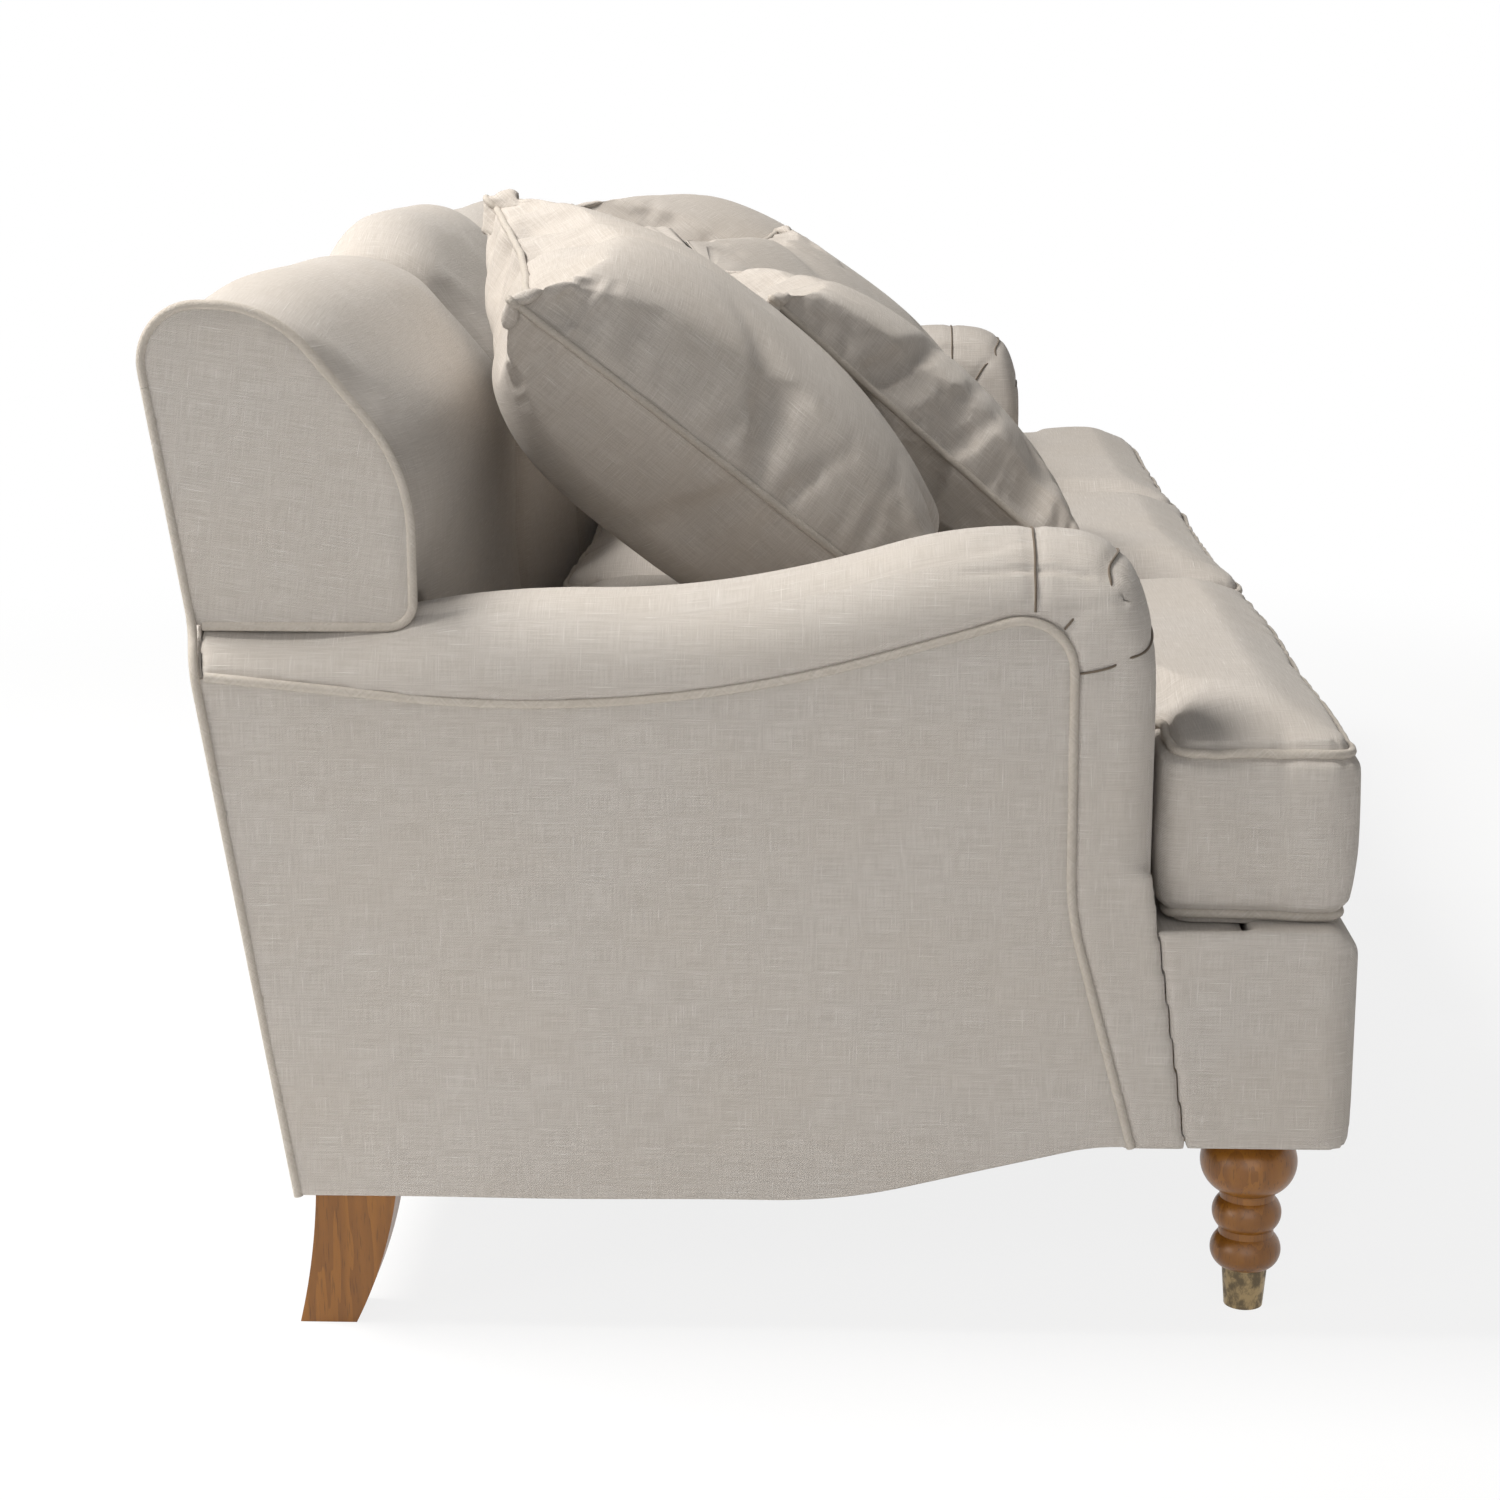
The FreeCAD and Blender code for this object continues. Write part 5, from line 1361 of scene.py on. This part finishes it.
@dataclass
class Pillows:
    """The four throw pillows, two in each corner of the seat."""

    finishes: Finishes
    cords: CordMaker
    cap: float = 0.012
    pillows: tuple = (
        Pillow("throw_pillow_corner_left", (-0.574, 0.062, 0.721), 0.3, 50.6, 11.1, 0.536,
               0.1075, 0.134, 101),
        Pillow("throw_pillow_corner_right", (0.595, 0.017, 0.704), -5.8, 55.7, -8.8, 0.549,
               0.1055, 0.1266, 131),
        Pillow("throw_pillow_front_left", (-0.233, -0.115, 0.6767), 10.5, 48.6, -0.5, 0.459,
               0.08, 0.08, 151),
        Pillow("throw_pillow_front_right", (0.21, -0.052, 0.6881), -15.7, 45.0, -3.2, 0.484,
               0.068, 0.068, 171),
    )

    def build(self, neighbours: list[BVHTree]) -> None:
        """Make the pillows, each pressed against what it rests on.

        Args:
            neighbours: surfaces of the seat, the back and the arms.
        """
        surfaces = list(neighbours)
        for pillow in self.pillows:
            surfaces.append(self.dress(pillow, surfaces))

    def dress(self, pillow: Pillow, neighbours: list[BVHTree]) -> BVHTree:
        """Make one pillow.

        Args:
            pillow: its sizes and place.
            neighbours: what it presses against.

        Returns:
            Its surface.
        """
        form, seam = pillow.form()
        form.swell(-0.003)
        form.stuff(self.cap, pressure=3.0)
        rim = Route(form.points[seam], closed=True)
        form.gather(rim, 0.008, 0.085, 0.014, pillow.seed)
        form.gather(rim, 0.014, 0.16, 0.05, pillow.seed + 5)
        form.dent(0.006, 4.0, pillow.seed + 9)
        form.relax(1, 0.25)
        place = pillow.place()
        matrix = np.array(place)
        form.points = form.points @ matrix[:3, :3].T + matrix[:3, 3]
        form.press(neighbours)
        seam_points = form.points[seam]
        form.refine()
        form.press(neighbours)
        form.map_weave(Lay.ACROSS, place)
        surface = form.tree()
        form.piece(self.finishes.pillow, "pillow_linen", (pillow.name,), fill=0.7)
        route = Route(seam_points, closed=True).softened(2)
        cord = self.cords.cord(pillow.name.replace("throw_pillow", "pillow_piping"), [route], 0.0036,
                               self.finishes.piping, sides=10)
        return surface


@dataclass
class Underside:
    """The springs under the seat and the thin cloth that hides them."""

    finishes: Finishes
    cords: CordMaker
    reach: float = 0.023
    waves: int = 14
    springs: int = 9
    start: float = -0.462
    end: float = 0.3888
    height: float = 0.303
    wire: float = 0.002
    leg_side: float = 0.9357
    post_side: float = 0.9567
    rail_side: float = 1.007
    cloth_height: float = 0.17

    def build(self) -> None:
        """Make the springs and the cloth."""
        low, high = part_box("seat_springs")
        springs = [self.spring(x) for x in self.centres(low.x, high.x)]
        wires = self.cords.cord("seat_springs_wire", springs, self.wire, self.finishes.steel,
                                ("seat_springs",), sides=6)
        self.cloth()

    def centres(self, low: float, high: float) -> np.ndarray:
        """The middles of the nine springs."""
        half_wave = (self.end - self.start) / (self.waves * 2)
        half = self.reach + half_wave / 2.0 + self.wire
        return np.linspace(low + half, high - half, self.springs)

    def spring(self, x: float) -> Route:
        """One zigzag spring from the front rail to the rear one."""
        count = self.waves * 2
        half_wave = (self.end - self.start) / count
        corners, direction = [(x - self.reach, self.start, self.height)], 1.0
        for index in range(count + 1):
            y = self.start + index * half_wave
            edge = x + direction * self.reach
            corners.append((edge, y, self.height))
            if index < count:
                for share in (0.25, 0.5, 0.75):
                    angle = math.pi * share
                    corners.append((edge + direction * half_wave / 2.0 * math.sin(angle),
                                    y + half_wave / 2.0 * (1.0 - math.cos(angle)), self.height))
                corners.append((edge, y + half_wave, self.height))
            direction = -direction
        return Route(np.array(corners), step=0.008)

    def cloth(self) -> None:
        """The thin black cloth, stapled flat and cut round the legs and posts."""
        half = [(self.leg_side, -0.44), (self.leg_side, -0.3797), (self.rail_side, -0.3797),
                (self.rail_side, 0.3453), (self.post_side, 0.3453), (self.post_side, 0.3603)]
        plan = half + [(-x, y) for x, y in half[::-1]]
        corners = [(x, y, self.cloth_height) for x, y in plan]
        outline = Route.rounded(corners, [0.0] * len(plan), closed=True)
        form = Form.of_plate("dust_cover_cloth", outline, (0.0, 0.0, 1.0), 0.0015, 0.03, 0.0006)
        points = form.points
        sag = (1.0 - (points[:, 0] / self.rail_side) ** 4) * (1.0 - ((points[:, 1] + 0.04) / 0.4) ** 4)
        points[:, 2] -= 0.003 * np.clip(sag, 0.0, 1.0)
        form.points = points
        form.map_weave(Lay.ACROSS)
        piece = form.piece(self.finishes.lining, "lining_cloth", ("dust_cover",))


@dataclass
class Frame:
    """The wood and metal that carry the covers."""

    finishes: Finishes

    def build(self) -> None:
        """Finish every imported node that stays."""
        slots = {}
        for entry in frame["record"]["materials"]:
            for node in entry.get("nodes", []):
                slots[node] = entry["slot"]
        for name, node in frame["nodes"].items():
            if node.hide_render:
                continue
            slot = slots.get(name) or node.data.materials[0].name
            node.data.materials.clear()
            node.data.materials.append(self.finishes.by_slot[slot.split(".")[0]])


def seen_white(tree: NodeTree) -> bpy.types.NodeSocket:
    """1 for what the camera, glossy and clear surfaces see, 0 for the light itself."""
    path = tree.node("ShaderNodeLightPath").outputs
    seen = tree.math("MAXIMUM", path["Is Camera Ray"], path["Is Glossy Ray"])
    return tree.math("MAXIMUM", seen, path["Is Transmission Ray"])


@dataclass
class Studio:
    """The camera, lamps and floor."""

    eye: tuple = (-3.299, -0.0684, 1.0286)
    pitch: float = 13.096
    yaw: float = 1.976
    focal: float = 69.12
    sensor: float = 36.0
    ambient: float = 0.175

    def build(self) -> None:
        """Set up the stage."""
        self.camera()
        self.floor()
        self.world()
        self.lamp("key", (-0.7, 2.3, 3.9), 1.5, 250.0, (1.0, 0.98, 0.95))
        self.lamp("low", (-2.9, 3.3, 1.2), 1.6, 26.0, (1.0, 0.99, 0.97))
        self.lamp("side", (-4.2, -0.2, 1.6), 2.6, 30.0, (0.97, 0.985, 1.0))
        self.lamp("front", (0.6, -4.2, 2.4), 3.0, 5.0, (1.0, 0.93, 0.84))

    def camera(self) -> None:
        """The photograph's view."""
        pitch, yaw = math.radians(self.pitch), math.radians(self.yaw)
        ahead = Vector((math.cos(pitch) * math.cos(yaw), math.cos(pitch) * math.sin(yaw), -math.sin(pitch)))
        right = Vector((math.sin(yaw), -math.cos(yaw), 0.0))
        up = right.cross(ahead)
        data = bpy.data.cameras.new("camera")
        data.lens = self.focal
        data.sensor_width = self.sensor
        camera = bpy.data.objects.new("camera", data)
        axes = Matrix((right, up, -ahead)).transposed()
        camera.matrix_world = Matrix.Translation(self.eye) @ axes.to_4x4()
        bpy.context.scene.collection.objects.link(camera)
        bpy.context.scene.camera = camera

    def lamp(self, name: str, place: tuple, size: float, power: float, colour: tuple) -> None:
        """A soft square lamp that looks at the middle of the sofa."""
        data = bpy.data.lights.new(name, "AREA")
        data.shape = "SQUARE"
        data.size = size
        data.energy = power
        data.color = colour
        lamp = bpy.data.objects.new(name, data)
        aim = Vector((0.0, 0.0, 0.5)) - Vector(place)
        lamp.matrix_world = Matrix.Translation(place) @ aim.to_track_quat("-Z", "Y").to_matrix().to_4x4()
        bpy.context.scene.collection.objects.link(lamp)

    def floor(self) -> None:
        """A plain pale floor that keeps the sofa's shadow."""
        mesh = bpy.data.meshes.new("floor")
        reach = 30.0
        square = [(-reach, -reach, 0.0), (reach, -reach, 0.0), (reach, reach, 0.0), (-reach, reach, 0.0)]
        mesh.from_pydata(square, [], [(0, 1, 2, 3)])
        recipe = Recipe("pale floor")
        matt = recipe.node("ShaderNodeBsdfDiffuse", Color=(0.86, 0.86, 0.86))
        glow = recipe.node("ShaderNodeEmission", Color=(1.0, 1.0, 1.0), Strength=1.0)
        mixed = recipe.node("ShaderNodeMixShader")
        place = recipe.node("ShaderNodeTexCoord").outputs["Object"]
        away = recipe.node("ShaderNodeVectorMath", {"operation": "LENGTH"})
        recipe.plug(away.inputs[0], place)
        near = recipe.step(away.outputs["Value"], 1.4, 3.0, 0.84, 1.0)
        share = recipe.math("MULTIPLY", seen_white(recipe), near)
        recipe.plug(mixed.inputs[0], share)
        recipe.plug(mixed.inputs[1], matt.outputs[0])
        recipe.plug(mixed.inputs[2], glow.outputs[0])
        output = recipe.node("ShaderNodeOutputMaterial")
        recipe.plug(output.inputs[0], mixed.outputs[0])
        mesh.materials.append(recipe.material)
        floor = bpy.data.objects.new("floor", mesh)
        bpy.context.scene.collection.objects.link(floor)

    def world(self) -> None:
        """A white backdrop over an even, dimmer light."""
        world = bpy.data.worlds.new("studio")
        bpy.context.scene.world = world
        world.use_nodes = True
        tree = NodeTree(world.node_tree)
        tree.tree.nodes.clear()
        level = tree.node("ShaderNodeMapRange", Value=seen_white(tree))
        level.inputs["To Min"].default_value = self.ambient
        level.inputs["To Max"].default_value = 1.0
        background = tree.node("ShaderNodeBackground", Color=(1.0, 1.0, 1.0), Strength=level.outputs[0])
        tree.node("ShaderNodeOutputWorld", Surface=background.outputs[0])


def corners(pair: tuple[Vector, Vector]) -> list[list[float]]:
    """Two corners as plain lists."""
    return [list(corner) for corner in pair]


def main() -> None:
    """Build the sofa and its stage."""
    logging.basicConfig(level=logging.INFO, format="%(message)s")
    bpy.context.scene.view_settings.view_transform = "Standard"
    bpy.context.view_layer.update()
    Studio().build()
    finishes = Finishes()
    cords = CordMaker(finishes)
    arms = Arms(finishes, cords)
    arms.build()
    back = Back(finishes)
    back.build()
    seat = Seat(finishes, cords)
    seat.build()
    Pillows(finishes, cords).build([*seat.surfaces, *back.surfaces, *arms.surfaces.values()])
    Underside(finishes, cords).build()
    Frame(finishes).build()


if __name__ == "__main__":
    main()
